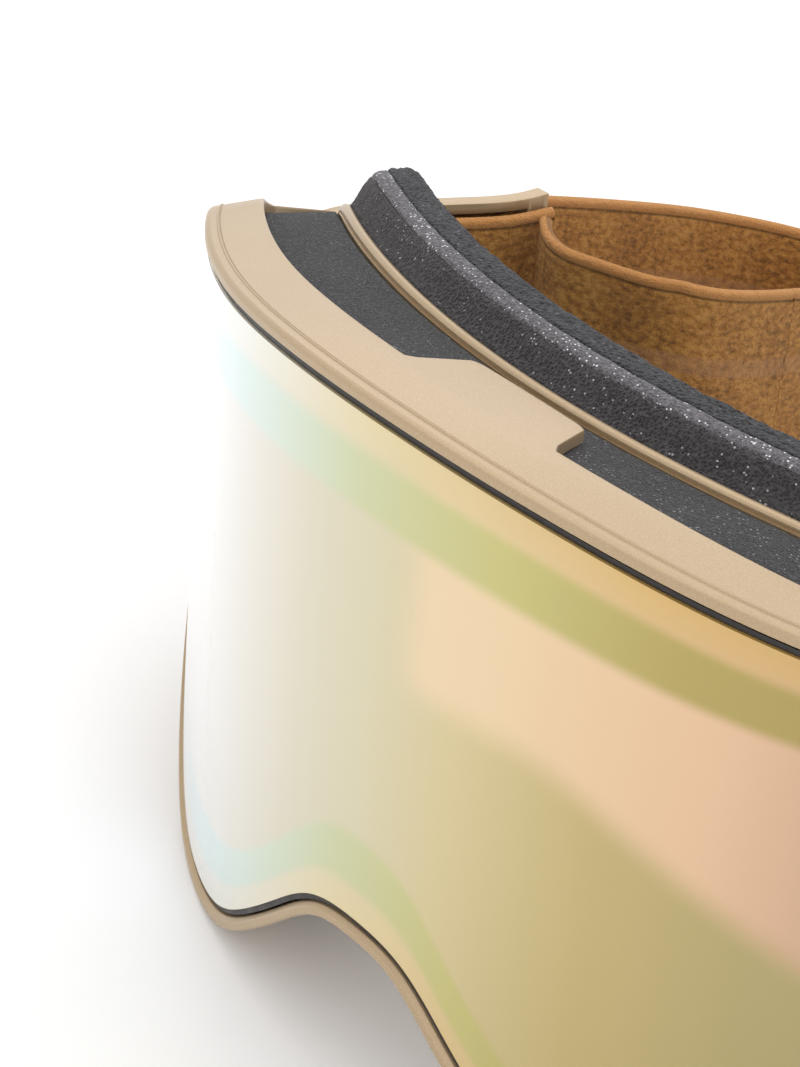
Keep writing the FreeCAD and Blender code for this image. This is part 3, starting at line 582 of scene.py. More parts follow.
def webbing_finish(name, dark, middle, light, bound):
    """Knitted pile on a surface map in mm: u runs along the strap and v up it.

    The face is mottled by three noises and has one faint stripe. The bound edges, where
    v nears 0 or the strap's width, are lighter, with a dark stitch line beside them."""
    cloth = Finish(name, middle, 0.88, Sheen_Weight=0.35, Sheen_Roughness=0.45)
    cloth.shader.inputs["Sheen Tint"].default_value = (1.0, 0.72, 0.42, 1)
    tufts = cloth.noise(0.75, 3, "UV", 0.6, (1.0, 1.35, 1.0))
    fine = cloth.noise(4.2, 3, "UV", 0.6)
    broad = cloth.noise(0.11, 2, "UV")
    finer = cloth.math("ADD", cloth.math("MULTIPLY", fine, 0.3), cloth.math("MULTIPLY", broad, 0.25))
    level = cloth.math("ADD", cloth.math("MULTIPLY", tufts, 0.7), finer)
    face = cloth.ramp(level, [(0.47, dark), (0.60, middle), (0.72, light)])
    split_uv = cloth.add("SeparateXYZ")
    cloth.join(cloth.place.outputs["UV"], split_uv.inputs[0])
    height = split_uv.outputs[1]
    half = STRAP_WIDTH / 2
    from_edge = cloth.math("SUBTRACT", half, cloth.math("ABSOLUTE", cloth.math("SUBTRACT", height, half)))
    inwards = cloth.math("DIVIDE", from_edge, EDGE_SPAN)
    edged = cloth.ramp(inwards, [(0.0, 1), (0.33, 1), (0.40, 0), (1.0, 0)])
    stitch = cloth.ramp(inwards, [(0.36, 0), (0.43, 1), (0.52, 0), (1.0, 0)])
    ribs = cloth.add("TexWave")
    ribs.inputs["Scale"].default_value = 1.1
    ribs.inputs["Distortion"].default_value = 1.5
    cloth.join(cloth.place.outputs["UV"], ribs.inputs["Vector"])
    from_stripe = cloth.math("ABSOLUTE", cloth.math("SUBTRACT", height, STRIPE_HEIGHT))
    stripe = cloth.ramp(cloth.math("DIVIDE", from_stripe, EDGE_SPAN), [(0.0, 1), (0.30, 1), (0.45, 0)])
    face = cloth.mix(cloth.math("MULTIPLY", stripe, 0.38), face, (0.50, 0.26, 0.14))
    rim_color = cloth.mix(ribs.outputs["Fac"], tuple(0.82 * c for c in bound), bound)
    painted = cloth.mix(edged, face, rim_color)
    painted = cloth.mix(cloth.math("MULTIPLY", stitch, 0.8), painted, tuple(0.35 * c for c in dark))
    cloth.color(painted)
    cloth.bump(cloth.math("ADD", cloth.math("MULTIPLY", tufts, 1.6), fine), 0.9, 0.0005)
    return cloth


webbing = webbing_finish("camel_webbing", (0.17, 0.066, 0.008), (0.44, 0.180, 0.027), (0.64, 0.315, 0.070),
                         (0.64, 0.285, 0.080))
silicone = Finish("grip_silicone", (0.42, 0.24, 0.15), 0.35, Specular_IOR_Level=0.5)
silicone.bump(silicone.noise(1500, 2), 0.2, 0.0001)
carrier = Finish("carrier_plastic", (0.018, 0.014, 0.013), 0.42)
carrier.rough(carrier.noise(400, 3), 0.34, 0.52)
carrier.bump(carrier.noise(2500, 2), 0.15, 0.00008)
spacer = Finish("spacer_foam", (0.03, 0.03, 0.03), 0.9)
spacer.bump(spacer.noise(2200, 3), 0.6, 0.0002)
inner_film = Finish("inner_lens_clear", (0.80, 0.76, 0.66), 0.06, Transmission_Weight=0.85, IOR=1.5)
inner_film.rough(inner_film.noise(60, 2), 0.04, 0.09)
magnet = Finish("magnet_nickel", (0.72, 0.71, 0.68), 0.22, Metallic=1.0)
magnet.rough(magnet.noise(900, 3), 0.16, 0.32)
steel = Finish("pin_steel", (0.62, 0.61, 0.59), 0.3, Metallic=1.0)
steel.rough(steel.noise(1200, 3, stretch=(1, 1, 0.1)), 0.2, 0.4)
buckle = Finish("buckle_paint", (0.58, 0.44, 0.29), 0.34, Metallic=0.35, Coat_Weight=0.2)
buckle.bump(buckle.noise(5000, 2), 0.1, 0.00005)
print("plain finishes made")

# %% [markdown]
# ## The front frame
#
# One moulded skin: a narrow lip round the lens with a fine raised line, a straight
# band, and over the brow a strip that ends in a tab. Between the strip and the bead the
# skin is open, for the vents. On a grid the opening is only a rule for where the
# section's rear edge lies: at the bead, or at the strip.

# %% Where the strip ends
VENT_HALF, VENT_CORNER = 74.0, 2.4
TAB_REAR_HALF, TAB_SIDE_HALF, TAB_BACK, TAB_CORNER = 9.4, 11.75, 20.2, 2.6
FLARE_HALF, FLARE_FOOT, FLARE_TOP = 17.9, 10.1, 13.2     # where the tab's side runs out into the strip
SKIN_END = 1.93
LOWER_VENT = (25.0, 60.0)


def strip_edge(at):
    """Depth of the strip's rear edge: 1.17 - 0.10 (x/64)^2, with x on the rear outline."""
    rear, _ = closed_spline(whole(REAR_HALF), at)
    return 1.17 - 0.10 * (rear[:, 0] / 64) ** 2


def quarter(distance, radius):
    """A corner's height at a distance from where it starts: r - sqrt(r^2 - d^2)."""
    inside = np.clip(distance, 0, radius)
    return radius - np.sqrt(radius ** 2 - inside ** 2)


def opening_end(at):
    """Depth where the skin ends, round the frame, and how much of the full depth it is."""
    line = skin(at, [(1.5, 0, 0)])[:, 0]
    across, up = np.abs(line[:, 0]), line[:, 2]
    edge = strip_edge(at)
    step_y = skin(at, [(edge, 0, 0)])[:, 0, 1]
    bead_y = skin(at, [(SKIN_END, 0, 0)])[:, 0, 1]
    room = bead_y - step_y
    wall = np.where(across >= VENT_HALF - 0.1, room, quarter(across - (VENT_HALF - VENT_CORNER), VENT_CORNER))
    slope = (TAB_BACK - FLARE_TOP) / (TAB_SIDE_HALF - TAB_REAR_HALF)
    side = TAB_BACK - (across - TAB_REAR_HALF) * slope
    rear = TAB_BACK - 0.55 * quarter(across - (TAB_REAR_HALF + 0.75 - TAB_CORNER), TAB_CORNER)
    near = np.clip((FLARE_HALF - across) / (FLARE_HALF - TAB_SIDE_HALF), 0, 1)
    flare = FLARE_FOOT + (FLARE_TOP - FLARE_FOOT) * near ** 3
    tab_y = np.where(across < TAB_SIDE_HALF, np.minimum(side, rear), np.where(across < FLARE_HALF, flare, 0))
    top = np.maximum(wall, np.clip(tab_y - step_y, 0, room))
    middle = (LOWER_VENT[0] + LOWER_VENT[1]) / 2
    half = (LOWER_VENT[1] - LOWER_VENT[0]) / 2
    off = np.abs(across - middle)
    lower = np.where(off >= half - 0.1, room, quarter(off - (half - VENT_CORNER), VENT_CORNER))
    gap = np.where(up > -40, top, np.where(up < -80, lower, room))
    share = np.clip(gap / room, 0, 1)
    return edge + (SKIN_END - edge) * share, share


def near_vent_ends(line):
    """True where the opening's edge runs steeply, which is where the grid has to be fine."""
    across, up = np.abs(line[:, 0]), line[:, 2]
    top = (up > -40) & (((across > 6) & (across < 19)) | ((across > 71) & (across < 75)))
    ends = (np.abs(across - LOWER_VENT[0] - 1) < 2) | (np.abs(across - LOWER_VENT[1] + 1) < 2)
    return top | ((up < -80) & ends)


ROUND = places_round(1120, near_vent_ends)
end_depth, end_share = opening_end(ROUND)
print("stations:", len(ROUND), "open share of the ring:", round(float((end_share < 0.5).mean()), 2))

# %% The skin itself
WALL, PROUD = 1.8, 0.5
front_section = [(0, WALL, 0.2), (0, WALL - 0.4, -PROUD), (0, 0.30, -PROUD), (0, 0, 0.15),
                 (0.17, 0, 0), (0.18, -0.16, 0), (0.205, -0.16, 0), (0.215, 0.10, 0), (0.235, 0.10, 0),
                 (0.245, 0, 0), (1, 0, 0), (end_depth, 0, 0), (end_depth, WALL, 0), (1, WALL, 0)]
front_radii = [0.1, 0.18, 0.3, 0.3, 0.1, 0.08, 0.08, 0.06, 0.06, 0.1, 1.6, 0.35, 0.2, 0.6]
front_points = rounded(skin(ROUND, front_section), front_radii, 3)
front_frame = grid_mesh("front_frame_skin", front_points, close_rows=True)
paint.on(front_frame, "frame_gold")
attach(front_frame, "goggle_frame")
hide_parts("front_frame")
print("front frame:", len(front_frame.data.polygons), "faces")

# %% The bead: a fine round bar at the foam's foot
turn = np.linspace(0, 2 * np.pi, 20, endpoint=False)
EVEN = places_round(900)
bead = grid_mesh("frame_bead", skin(EVEN, [(2, 1.55 - 0.66 * np.cos(t), 0.80 * np.sin(t)) for t in turn]),
                 close_rows=True)
paint.on(bead, "frame_gold")
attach(bead, "goggle_frame")
print("bead:", len(bead.data.polygons), "faces")

# %% [markdown]
# ## The lens
#
# The outer lens is a thin sheet bent round an upright cylinder. A disc of rings between
# its middle and its edge, wrapped on the cylinder, gives it an even mesh with no
# facets in the reflections. Its surface map holds the distance from the edge, which is
# what the film's colour bands follow.

# %% The mirrored outer lens
LENS_INSET, LENS_THICK = 2.95, 1.1
front_line, front_way = closed_spline(whole(FRONT_HALF), EVEN)
lens_edge = front_line - outwards(front_way) * LENS_INSET
LENS_MIDDLE = np.array([0.0, -38.0])


def lens_rings(shares, edge):
    """Flat places (s, z): each ring is the edge drawn in towards the middle by its share.

    The middle is a short level line, so that rings stay apart where the lens is long."""
    spine = np.stack([edge[:, 0] * 0.62, np.full(len(edge), LENS_MIDDLE[1])], -1)
    shares = np.asarray(shares)[None, :, None]
    return spine[:, None] * (1 - shares) + edge[:, None] * shares


shares = 1 - np.linspace(1, 0, 46) ** 1.6
flat = lens_rings(shares, lens_edge)
front_face = on_lens(flat[..., 0], flat[..., 1])
edge_round = [(0.04, 0.03), (0.09, 0.12), (0.10, 0.3), (0.10, LENS_THICK - 0.2), (0.05, LENS_THICK)]
wrap = []
for out, back in edge_round:
    flat_edge = lens_edge + outwards(front_way) * (out - 0.10)
    ring_points = on_lens(flat_edge[:, 0], flat_edge[:, 1])
    ring_points[:, 1] += back
    wrap.append(ring_points)
back_face = front_face[:, ::-1].copy()
back_face[..., 1] += LENS_THICK
lens_points = np.concatenate([front_face, np.stack(wrap, 1), back_face], 1)
from_edge = np.minimum(np.linalg.norm(flat - lens_edge[:, None], axis=2), 60) / 60
along_lens = (flat[..., 0] + 90) / 180
face_map = np.stack([along_lens, from_edge], -1)
edge_map = np.stack([np.repeat(along_lens[:, -1:], len(wrap), 1), np.zeros((len(EVEN), len(wrap)))], -1)
lens_map = np.concatenate([face_map, edge_map, face_map[:, ::-1]], 1)
outer_lens = grid_mesh("outer_lens_mirror", lens_points, close_rows=True, close_columns=False, uv=lens_map)
mirror.on(outer_lens, "mirror_lens")
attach(outer_lens, "lens_unit")
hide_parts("outer_lens")
print("outer lens:", len(outer_lens.data.polygons), "faces")

# %% [markdown]
# ## Foams
#
# Foam is never smooth: it is cut through its cells, so its surface is a field of small
# pits. Each layer starts as a clean rounded section, and then every point moves a
# little along the surface's own normal by a fixed pseudo-random field. The colours do
# the finest cells, and the outline shows the coarser ones.

# %% Roughening a grid


def grid_normals(points, close_rows):
    """The normal of a grid's surface: the cross product of its two directions."""
    down = np.roll(points, -1, 0) - np.roll(points, 1, 0) if close_rows else np.gradient(points, axis=0)
    round_ = np.roll(points, -1, 1) - np.roll(points, 1, 1)
    normal = np.cross(down, round_)
    return normal / (np.linalg.norm(normal, axis=2, keepdims=True) + 1e-9)


def pitted(points, depth, seed, close_rows=True, blur=1):
    """Moves each point by up to "depth" along its normal, by seeded noise blurred a little."""
    field = np.random.default_rng(seed).normal(size=points.shape[:2])
    for _ in range(blur):
        field = (field + np.roll(field, 1, 0) + np.roll(field, 1, 1)
                 + np.roll(field, -1, 0) + np.roll(field, -1, 1)) / 2.6
    return points + grid_normals(points, close_rows) * (depth * field)[..., None]


def ridge_inset(at):
    """How far the foam stands out of the skin: most along the brow, little at the sides."""
    rear, _ = closed_spline(whole(REAR_HALF), at)
    share = np.clip((rear[:, 1] + 30) / 25, 0, 1)
    return -(0.4 + 1.9 * share * share * (3 - 2 * share))


FOAM_ROUND = places_round(820)
BASE_END, MIDDLE_END = 4.7, 7.6
ridge = ridge_inset(FOAM_ROUND)
FOAM_LAYERS = {
    "face_foam_base": ([(2, 1.62, 0.85), (2, 0.95 + 0.15 * ridge, 2.2), (2, ridge + 1.0, 3.7),
                        (2, ridge + 0.3, BASE_END - 0.03), (2, 13.5, BASE_END - 0.03), (2, 12.8, 0.85)],
                       [0.3, 1.2, 0.9, 0.2, 0.8, 0.8], front_foam, 0.055, "face_foam"),
    "face_foam_middle": ([(2, ridge + 0.22, BASE_END + 0.02), (2, ridge - 0.05, 5.9),
                          (2, ridge + 0.2, MIDDLE_END - 0.03), (2, 14.2, MIDDLE_END - 0.03),
                          (2, 13.5, BASE_END + 0.02)],
                         [0.5, 1.3, 0.3, 0.8, 0.8], ridge_foam, 0.03, "face_foam"),
    "face_fleece": ([(2, ridge + 0.22, MIDDLE_END + 0.02), (2, ridge + 0.75, 11.9), (2, ridge + 2.6, 13.75),
                     (2, 13.3, 13.7), (2, 14.7, 12.2), (2, 14.3, MIDDLE_END + 0.02)],
                    [0.25, 2.0, 2.2, 2.2, 1.2, 0.4], fleece, 0.10, "fleece"),
}
for seed, (node, (section, radii, finish, depth, slot_name)) in enumerate(FOAM_LAYERS.items()):
    loops = evened(rounded(skin(FOAM_ROUND, section), radii, 4), 96)
    layer = grid_mesh(node + "_cells", pitted(loops, depth, seed), close_rows=True)
    finish.on(layer, slot_name)
    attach(layer, "goggle_frame")
    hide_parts(node)
    print(node, len(layer.data.polygons), "faces")

# %% Vent foams, set a little below the strip
VENT_TOP, VENT_UNDER, VENT_REAR = 1.95, 3.55, 1.91


def vent_foam_piece(node, low_x, high_x, upper, seed):
    """A run of the ring between two places across, with its section inside the opening."""
    at = np.linspace(0, SPANS, 12001)
    line = skin(at, [(1.5, VENT_TOP, 0)])[:, 0]
    half = line[:, 2] > -40 if upper else line[:, 2] < -80
    inside = (line[:, 0] > low_x) & (line[:, 0] < high_x) & half
    picked = at[inside]
    if upper and picked.max() - picked.min() > SPANS / 2:
        picked = np.where(picked > SPANS / 2, picked - SPANS, picked)
        picked.sort()
    steps = int(np.ptp(line[inside][:, 0]) / 0.42)
    run = np.linspace(picked.min(), picked.max(), steps)
    edge = strip_edge(run) + 0.02
    loops = skin(run, [(edge, VENT_TOP, 0), (VENT_REAR, VENT_TOP, 0),
                       (VENT_REAR, VENT_UNDER, 0), (edge, VENT_UNDER, 0)])
    loops = evened(rounded(loops, [0.25, 0.25, 0.1, 0.1], 3), 72)
    piece = grid_mesh(node + "_cells", pitted(loops, 0.03, seed, close_rows=False), caps=True)
    vent_foam.on(piece, "vent_foam")
    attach(piece, "goggle_frame")
    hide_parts(node)
    return piece


VENT_FOAMS = [("top_vent_foam_left", 0.1, 73.5, True), ("top_vent_foam_right", -73.5, -0.1, True),
              ("lower_vent_foam_left", 25.5, 59.5, False), ("lower_vent_foam_right", -59.5, -25.5, False)]
for seed, (node, low_x, high_x, upper) in enumerate(VENT_FOAMS, start=10):
    print(node, len(vent_foam_piece(node, low_x, high_x, upper, seed).data.polygons), "faces")

# %% [markdown]
# ## The strap
#
# Elastic webbing is a flat knitted band with bound edges that are a little thicker than
# its face. One section is carried along each stretch of the strap. It stays upright,
# and behind the arms its height falls, because the loop leans down to the table. The
# knit is a height field on the band's own map, in mm, so its tufts keep one size.

# %% Carrying the strap's section along a line
BEND_BACK, HEADING = 96.0, np.radians(47)
RUN_START = np.array([64.5, 152.5])
RUN_LENGTH = 40.0
FACE_POINTS, BACK_MAP = 74, 200.0     # points up one face, and how far apart the two faces' maps lie
run_way = np.array([-np.cos(HEADING), np.sin(HEADING)])
run_end = RUN_START + run_way * RUN_LENGTH
REAR_RADIUS = run_end[0] / np.sin(HEADING)
rear_back = run_end[1] + REAR_RADIUS * (1 - np.cos(HEADING))
STRAP_FALL = (DATUM[2] + STRAP_TOP - STRAP_WIDTH) / (rear_back + STRAP_THICK / 2 - BEND_BACK)
strap_field = np.random.default_rng(77)
TUFT_PHASES = strap_field.uniform(0, 2 * np.pi, (9, 2))
TUFT_WAVES = strap_field.uniform(1.3, 3.4, (9, 2)) * strap_field.choice([-1, 1], (9, 2))


def strap_top(back):
    """The strap's top edge: level beside the arms, then falling to the table."""
    return STRAP_TOP - STRAP_FALL * np.clip(back - BEND_BACK, 0, None)


def tufts(u, v):
    """A mottled height field: a third of the sum of nine slanted waves, 2 to 5 mm long."""
    total = sum(np.sin(wave[0] * u + phase[0] + 1.3 * np.sin(wave[1] * 0.5 * v + phase[1])) *
                np.sin(wave[1] * v + phase[1]) for wave, phase in zip(TUFT_WAVES, TUFT_PHASES))
    return total / 3


def half_thickness(v):
    """Half the band's thickness at height v: a fuller bound edge, then a stitched groove."""
    edge = np.minimum(v, STRAP_WIDTH - v)
    bound = 0.10 * np.exp(-((edge - 0.8) / 0.5) ** 2)
    groove = -0.20 * np.exp(-((edge - 1.7) / 0.22) ** 2)
    roll = np.sqrt(np.clip(1 - np.clip(1 - edge / 0.9, 0, 1) ** 2, 0, 1))
    return (STRAP_THICK / 2 - 0.06) * roll + bound + groove


def webbing_band(name, line, top=strap_top, lean=0.0, narrow=1.0, relief=0.10):
    """A band along a line in plan: up one face, over the bound edge and down the other.

    top(back) is the height of its upper edge. Each station leans along the line by
    "lean" mm per mm of height, and its height is scaled by "narrow"."""
    way, side = beside(line)
    run = distance_along(line)
    ease = (1 - np.cos(np.linspace(0, np.pi, FACE_POINTS))) / 2
    height = STRAP_WIDTH * (0.25 * ease + 0.75 * np.linspace(0, 1, FACE_POINTS))
    v = np.concatenate([height, height[::-1][1:-1]])
    face = np.concatenate([np.ones(FACE_POINTS), -np.ones(FACE_POINTS - 2)])
    half = half_thickness(v)
    inner = np.clip(np.minimum(v, STRAP_WIDTH - v) / 3 - 0.8, 0, 1)
    field = tufts(run[:, None] + 40 * (face[None, :] < 0), v[None, :]) * relief * inner[None, :]
    off = (half[None, :] + np.minimum(field, 0.12)) * face[None, :]
    points = np.empty((len(line), len(v), 3))
    rise = (v[None, :] - STRAP_WIDTH / 2) * np.broadcast_to(narrow, len(line))[:, None]
    leaned = rise * np.broadcast_to(lean, len(line))[:, None]
    points[..., :2] = line[:, None] + side[:, None] * off[..., None] + way[:, None] * leaned[..., None]
    points[..., 2] = (top(line[:, 1]) - STRAP_WIDTH / 2)[:, None] + rise
    along_map = run[:, None] + BACK_MAP * (face[None, :] < 0)
    uv = np.stack([along_map, np.repeat(v[None], len(line), 0)], -1)
    piece = grid_mesh(name, points, caps=True, uv=uv)
    webbing.on(piece, "strap")
    return piece


def even_line(points, step=0.5):
    """The points of a line drawn again at even steps."""
    run = distance_along(points)
    wanted = np.linspace(0, run[-1], max(8, int(run[-1] / step)))
    return np.stack([np.interp(wanted, run, points[:, k]) for k in range(points.shape[1])], -1)


turn = np.linspace(HEADING, -HEADING, 120)
arc = np.stack([REAR_RADIUS * np.sin(turn), rear_back - REAR_RADIUS * (1 - np.cos(turn))], -1)
rear_line = np.concatenate([[RUN_START], arc, [RUN_START * [-1, 1]]])
rear_band = webbing_band("strap_rear_band_knit", even_line(rear_line, 0.55))
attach(rear_band, "goggle_frame")
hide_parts("strap_rear_band")
print("rear band:", len(rear_band.data.polygons), "faces")

# %% Side bands, inner bands and the loops on the arms
ARM_LINE = [(85.6, 50), (86.4, 58), (86.3, 66.8), (83.9, 74), (78.9, 84), (76.4, 89.5), (75.3, 96.5)]
SIDE_LINE = [(77.7, 96.9), (77.4, 110), (76.6, 121), (75.1, 131), (72.3, 139.6), (69.1, 146.4), RUN_START]
INNER_LINE = [(71.2, 93.4), (66.6, 90.0), (62.0, 88.9), (57, 90.2), (51.8, 92.0), (46.8, 94.6),
              (43.2, 98.8), (41.9, 104.5), (41.9, 111), (42.8, 120), (44.6, 130.5), (47.0, 139.5),
              (49.4, 147.2), (50.4, 150.4)]
INNER_SPLIT = 118.0      # how far back the inner band's front part ends and its rear part starts
ARM_THICK = 2.4
LAYER_OUT = ARM_THICK / 2 + 0.3 + STRAP_THICK / 2
LOOP_FRONT = 61.4
# At the slider the inner band has come down, leans back as the slider does, and is drawn in.
INNER_DROP, INNER_LEAN, INNER_NARROW = 2.7, 0.213, 0.925
SIDES = {"left": 1, "right": -1}
BLEND_HEIGHT = -48


def arm_loop_line():
    """The strap's end in plan: along the arm's outside, round its front bar, and back inside."""
    middle = open_spline(ARM_LINE, 200)
    side = beside(middle)[1]
    turn_back = LOOP_FRONT + STRAP_THICK / 2 + LAYER_OUT
    outer = (middle + side * LAYER_OUT)[(middle[:, 1] > turn_back)]
    inner = (middle - side * LAYER_OUT)[(middle[:, 1] > turn_back)]
    centre = (outer[0] + inner[0]) / 2
    sweep = np.linspace(0, np.pi, 24)[1:-1]
    bend = centre + LAYER_OUT * np.stack([np.cos(sweep), -np.sin(sweep)], -1)
    return np.concatenate([outer[::-1], bend, inner])


def towards_slider(back):
    """0 up to 122 mm back, 1 from 147 mm: how far the inner band has turned to its slider."""
    part = np.clip((back - 122) / 25, 0, 1)
    return part * part * (3 - 2 * part)


def inner_top(back):
    """The inner band's top edge: the strap's own, coming down to meet the slider."""
    return strap_top(back) - INNER_DROP * towards_slider(back)


def place(sign, across, back):
    """A point about halfway up the strap, in the frame's metres, from where it lies in plan."""
    return tuple((np.array([sign * across, back, BLEND_HEIGHT]) + DATUM) * MM)


for side_name, sign in SIDES.items():
    flip = np.array([sign, 1])
    loop = webbing_band("strap_loop_%s_knit" % side_name, even_line(arm_loop_line() * flip))
    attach(loop, "arm_" + side_name)
    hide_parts("strap_loop_" + side_name)
    side_line = even_line(open_spline(SIDE_LINE, 160) * flip)
    band = webbing_band("strap_side_band_%s_knit" % side_name, side_line)
    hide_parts("strap_side_band_" + side_name)
    inner_line = even_line(open_spline(INNER_LINE, 240) * flip)
    cut = int(np.argmin(np.abs(inner_line[:, 1] - INNER_SPLIT)))
    front_part = webbing_band("strap_inner_band_%s_front" % side_name, inner_line[:cut + 1])
    turned = towards_slider(inner_line[cut:, 1])
    rear_part = webbing_band("strap_inner_band_%s_rear" % side_name, inner_line[cut:], inner_top,
                             lean=INNER_LEAN * turned, narrow=1 + (INNER_NARROW - 1) * turned)
    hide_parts("strap_inner_band_" + side_name)
    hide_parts("strap_inner_band_" + side_name)
    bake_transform(band)
    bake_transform(front_part)
    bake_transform(rear_part)
    print(side_name, "bands:", [len(piece.data.polygons) for piece in (band, front_part, rear_part)])

# %% [markdown]
# ## Slider loops and hinge lugs
#
# The inner band's end goes round the slider's middle bar and is sewn to itself. Two
# lugs a side hold each hinge pin. Both are closed outlines carried along one
# direction, with their edges drawn in a little so that they catch the light.

# %% Slider loops
SLIDER_AT, SLIDER_BAR, BAR_THICK = 12.5, 3.0, 1.8
LOOP_HALF, LOOP_STEP = 0.62, 0.4      # half the folded strap's thickness, and the step along it
fall_on_run = np.arctan(STRAP_FALL * np.sin(HEADING))
BAND_HEIGHT = STRAP_WIDTH * np.cos(fall_on_run)
bar_middle = np.array([0.0, -(STRAP_THICK / 2 + 0.35 + 2.3) - BAR_THICK / 2])
TAIL_WAY, TAIL_REACH = np.radians(240), 10.6


def slider_frame(sign):
    """The slider's middle and its axes: along the run, outboard, and up the strap."""
    plan = RUN_START + run_way * SLIDER_AT
    up = strap_top(plan[1:])[0] - STRAP_WIDTH / 2
    level = run_way * np.cos(fall_on_run)
    along = np.array([sign * level[0], level[1], -np.sin(fall_on_run)])
    outboard = np.array([sign * np.sin(HEADING), np.cos(HEADING), 0])
    return np.array([sign * plan[0], plan[1], up]), along, outboard, np.cross(along, outboard)


def slider_loop(name, sign):
    """A band round the bar and back: half a turn of radius r, then two layers that meet."""
    radius = np.hypot(BAR_THICK / 2, SLIDER_BAR / 2) + 0.1 + 0.65
    way = np.array([np.cos(TAIL_WAY), np.sin(TAIL_WAY)])
    across = np.array([-way[1], way[0]])
    sweep = np.linspace(-np.pi / 2, np.pi / 2, 28)
    bend = bar_middle + radius * (across * np.sin(sweep)[:, None] - way * np.cos(sweep)[:, None])
    tip = bar_middle + way * TAIL_REACH
    line = np.concatenate([[tip - across * 0.66], bend, [tip + across * 0.66]])
    line = even_line(line, LOOP_STEP)
    normal = beside(line)[1]
    half_height = BAND_HEIGHT / 2 - 0.9
    t = np.linspace(0, 2 * np.pi, 120, endpoint=False)
    v = half_height * np.sign(np.sin(t)) * (1 - (1 - np.abs(np.sin(t))) ** 1.7)
    fullness = 0.4 + 0.6 * np.clip((half_height - np.abs(v)) / 0.9, 0, 1)
    off = LOOP_HALF * np.cos(t) * fullness / np.maximum(np.abs(np.cos(t)), 0.35)
    origin, along, outboard, up = slider_frame(sign)
    flat = line[:, None] + normal[:, None] * off[None, :, None]
    points = origin + flat[..., :1] * along + flat[..., 1:] * outboard + v[None, :, None] * up
    run = np.arange(len(line)) * LOOP_STEP
    up_map = np.repeat((v + STRAP_WIDTH / 2)[None], len(line), 0)
    uv = np.stack([np.repeat(run[:, None], len(t), 1), up_map], -1)
    piece = grid_mesh(name, points, caps=True, uv=uv)
    webbing.on(piece, "strap")
    return piece


for side_name, sign in SIDES.items():
    loop = slider_loop("slider_loop_%s_knit" % side_name, sign)
    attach(loop, "adjuster_" + side_name)
    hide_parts("slider_loop_" + side_name)
    print(loop.name, len(loop.data.polygons), "faces")

# %% Hinge lugs and pins
PIN_OUT, LUG_RADIUS, LUG_WEB_FROM, PIN_RADIUS = 85.6, 3.2, 77.4, 1.5
HEAD_RADIUS, HEAD_THICK = 2.4, 0.8
LUG_SPANS = {"lower": (-69.0, -63.0), "upper": (-33.0, -27.0)}


def block(name, outline, low, high, soft, finish, slot_name, body):
    """A closed plan outline raised from low to high, drawn in by "soft" at both rims."""
    way = unit(np.roll(outline, -1, 0) - np.roll(outline, 1, 0))
    area = np.sum(outline[:, 0] * np.roll(outline[:, 1], -1) - np.roll(outline[:, 0], -1) * outline[:, 1])
    out = np.stack([way[:, 1], -way[:, 0]], -1) * np.sign(area)
    angle = np.linspace(0, np.pi / 2, 5)
    sine_rise, cosine_rise = soft * (1 - np.sin(angle)), soft * (1 - np.cos(angle))
    inset = np.concatenate([[soft * 2], sine_rise, cosine_rise, [soft * 2]])
    up = np.concatenate([[low], low + cosine_rise, high - sine_rise, [high]])
    points = np.empty((len(inset), len(outline), 3))
    points[..., :2] = outline[None] - out[None] * inset[:, None, None]
    points[..., 2] = up[:, None]
    piece = grid_mesh(name, points, caps=True)
    finish.on(piece, slot_name)
    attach(piece, body)
    return piece


def on_circle(sign, radius, angles):
    """Places in plan on a circle round the hinge axis of one side."""
    return np.stack([sign * PIN_OUT + radius * np.cos(angles), PIN_BACK + radius * np.sin(angles)], -1)


half_turn = np.linspace(-np.pi / 2, np.pi / 2, 24)
full_turn = np.linspace(0, 2 * np.pi, 40, endpoint=False)
for side_name, sign in SIDES.items():
    web = np.linspace(PIN_OUT, LUG_WEB_FROM, 8)[1:]
    rear_web = np.stack([web, np.full(7, PIN_BACK + LUG_RADIUS)], -1)
    front_web = np.stack([web[::-1], np.full(7, PIN_BACK - LUG_RADIUS)], -1)
    outline = np.concatenate([on_circle(1, LUG_RADIUS, half_turn), rear_web, front_web]) * [sign, 1]
    for place_name, (low, high) in LUG_SPANS.items():
        block("hinge_lug_%s_%s" % (side_name, place_name), outline, low, high, 0.45, paint,
              "frame_gold", "goggle_frame")
    pin_foot, pin_top = LUG_SPANS["lower"][0], LUG_SPANS["upper"][1]
    pin = block("hinge_pin_%s_shaft" % side_name, on_circle(sign, PIN_RADIUS, full_turn), pin_foot, pin_top,
                0.2, steel, "pin_steel", "goggle_frame")
    block("hinge_pin_%s_head" % side_name, on_circle(sign, HEAD_RADIUS, full_turn), pin_top,
          pin_top + HEAD_THICK, 0.3, steel, "pin_steel", "goggle_frame")
    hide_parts("hinge_pin_" + side_name)
print("lugs and pins made")

# %% [markdown]
# ## Pieces kept from the frame
#
# Many pieces of the frame already have their true shape, and only need a finish. But a
# real moulded edge is never sharp, so the arms and sliders are rounded copies: their
# flat faces are joined and their edges rounded by a fraction of a millimetre. That
# small round is what shows as a bright line along an edge.

# %% Rounded copies of frame pieces
EDGE_ROUND = 0.35


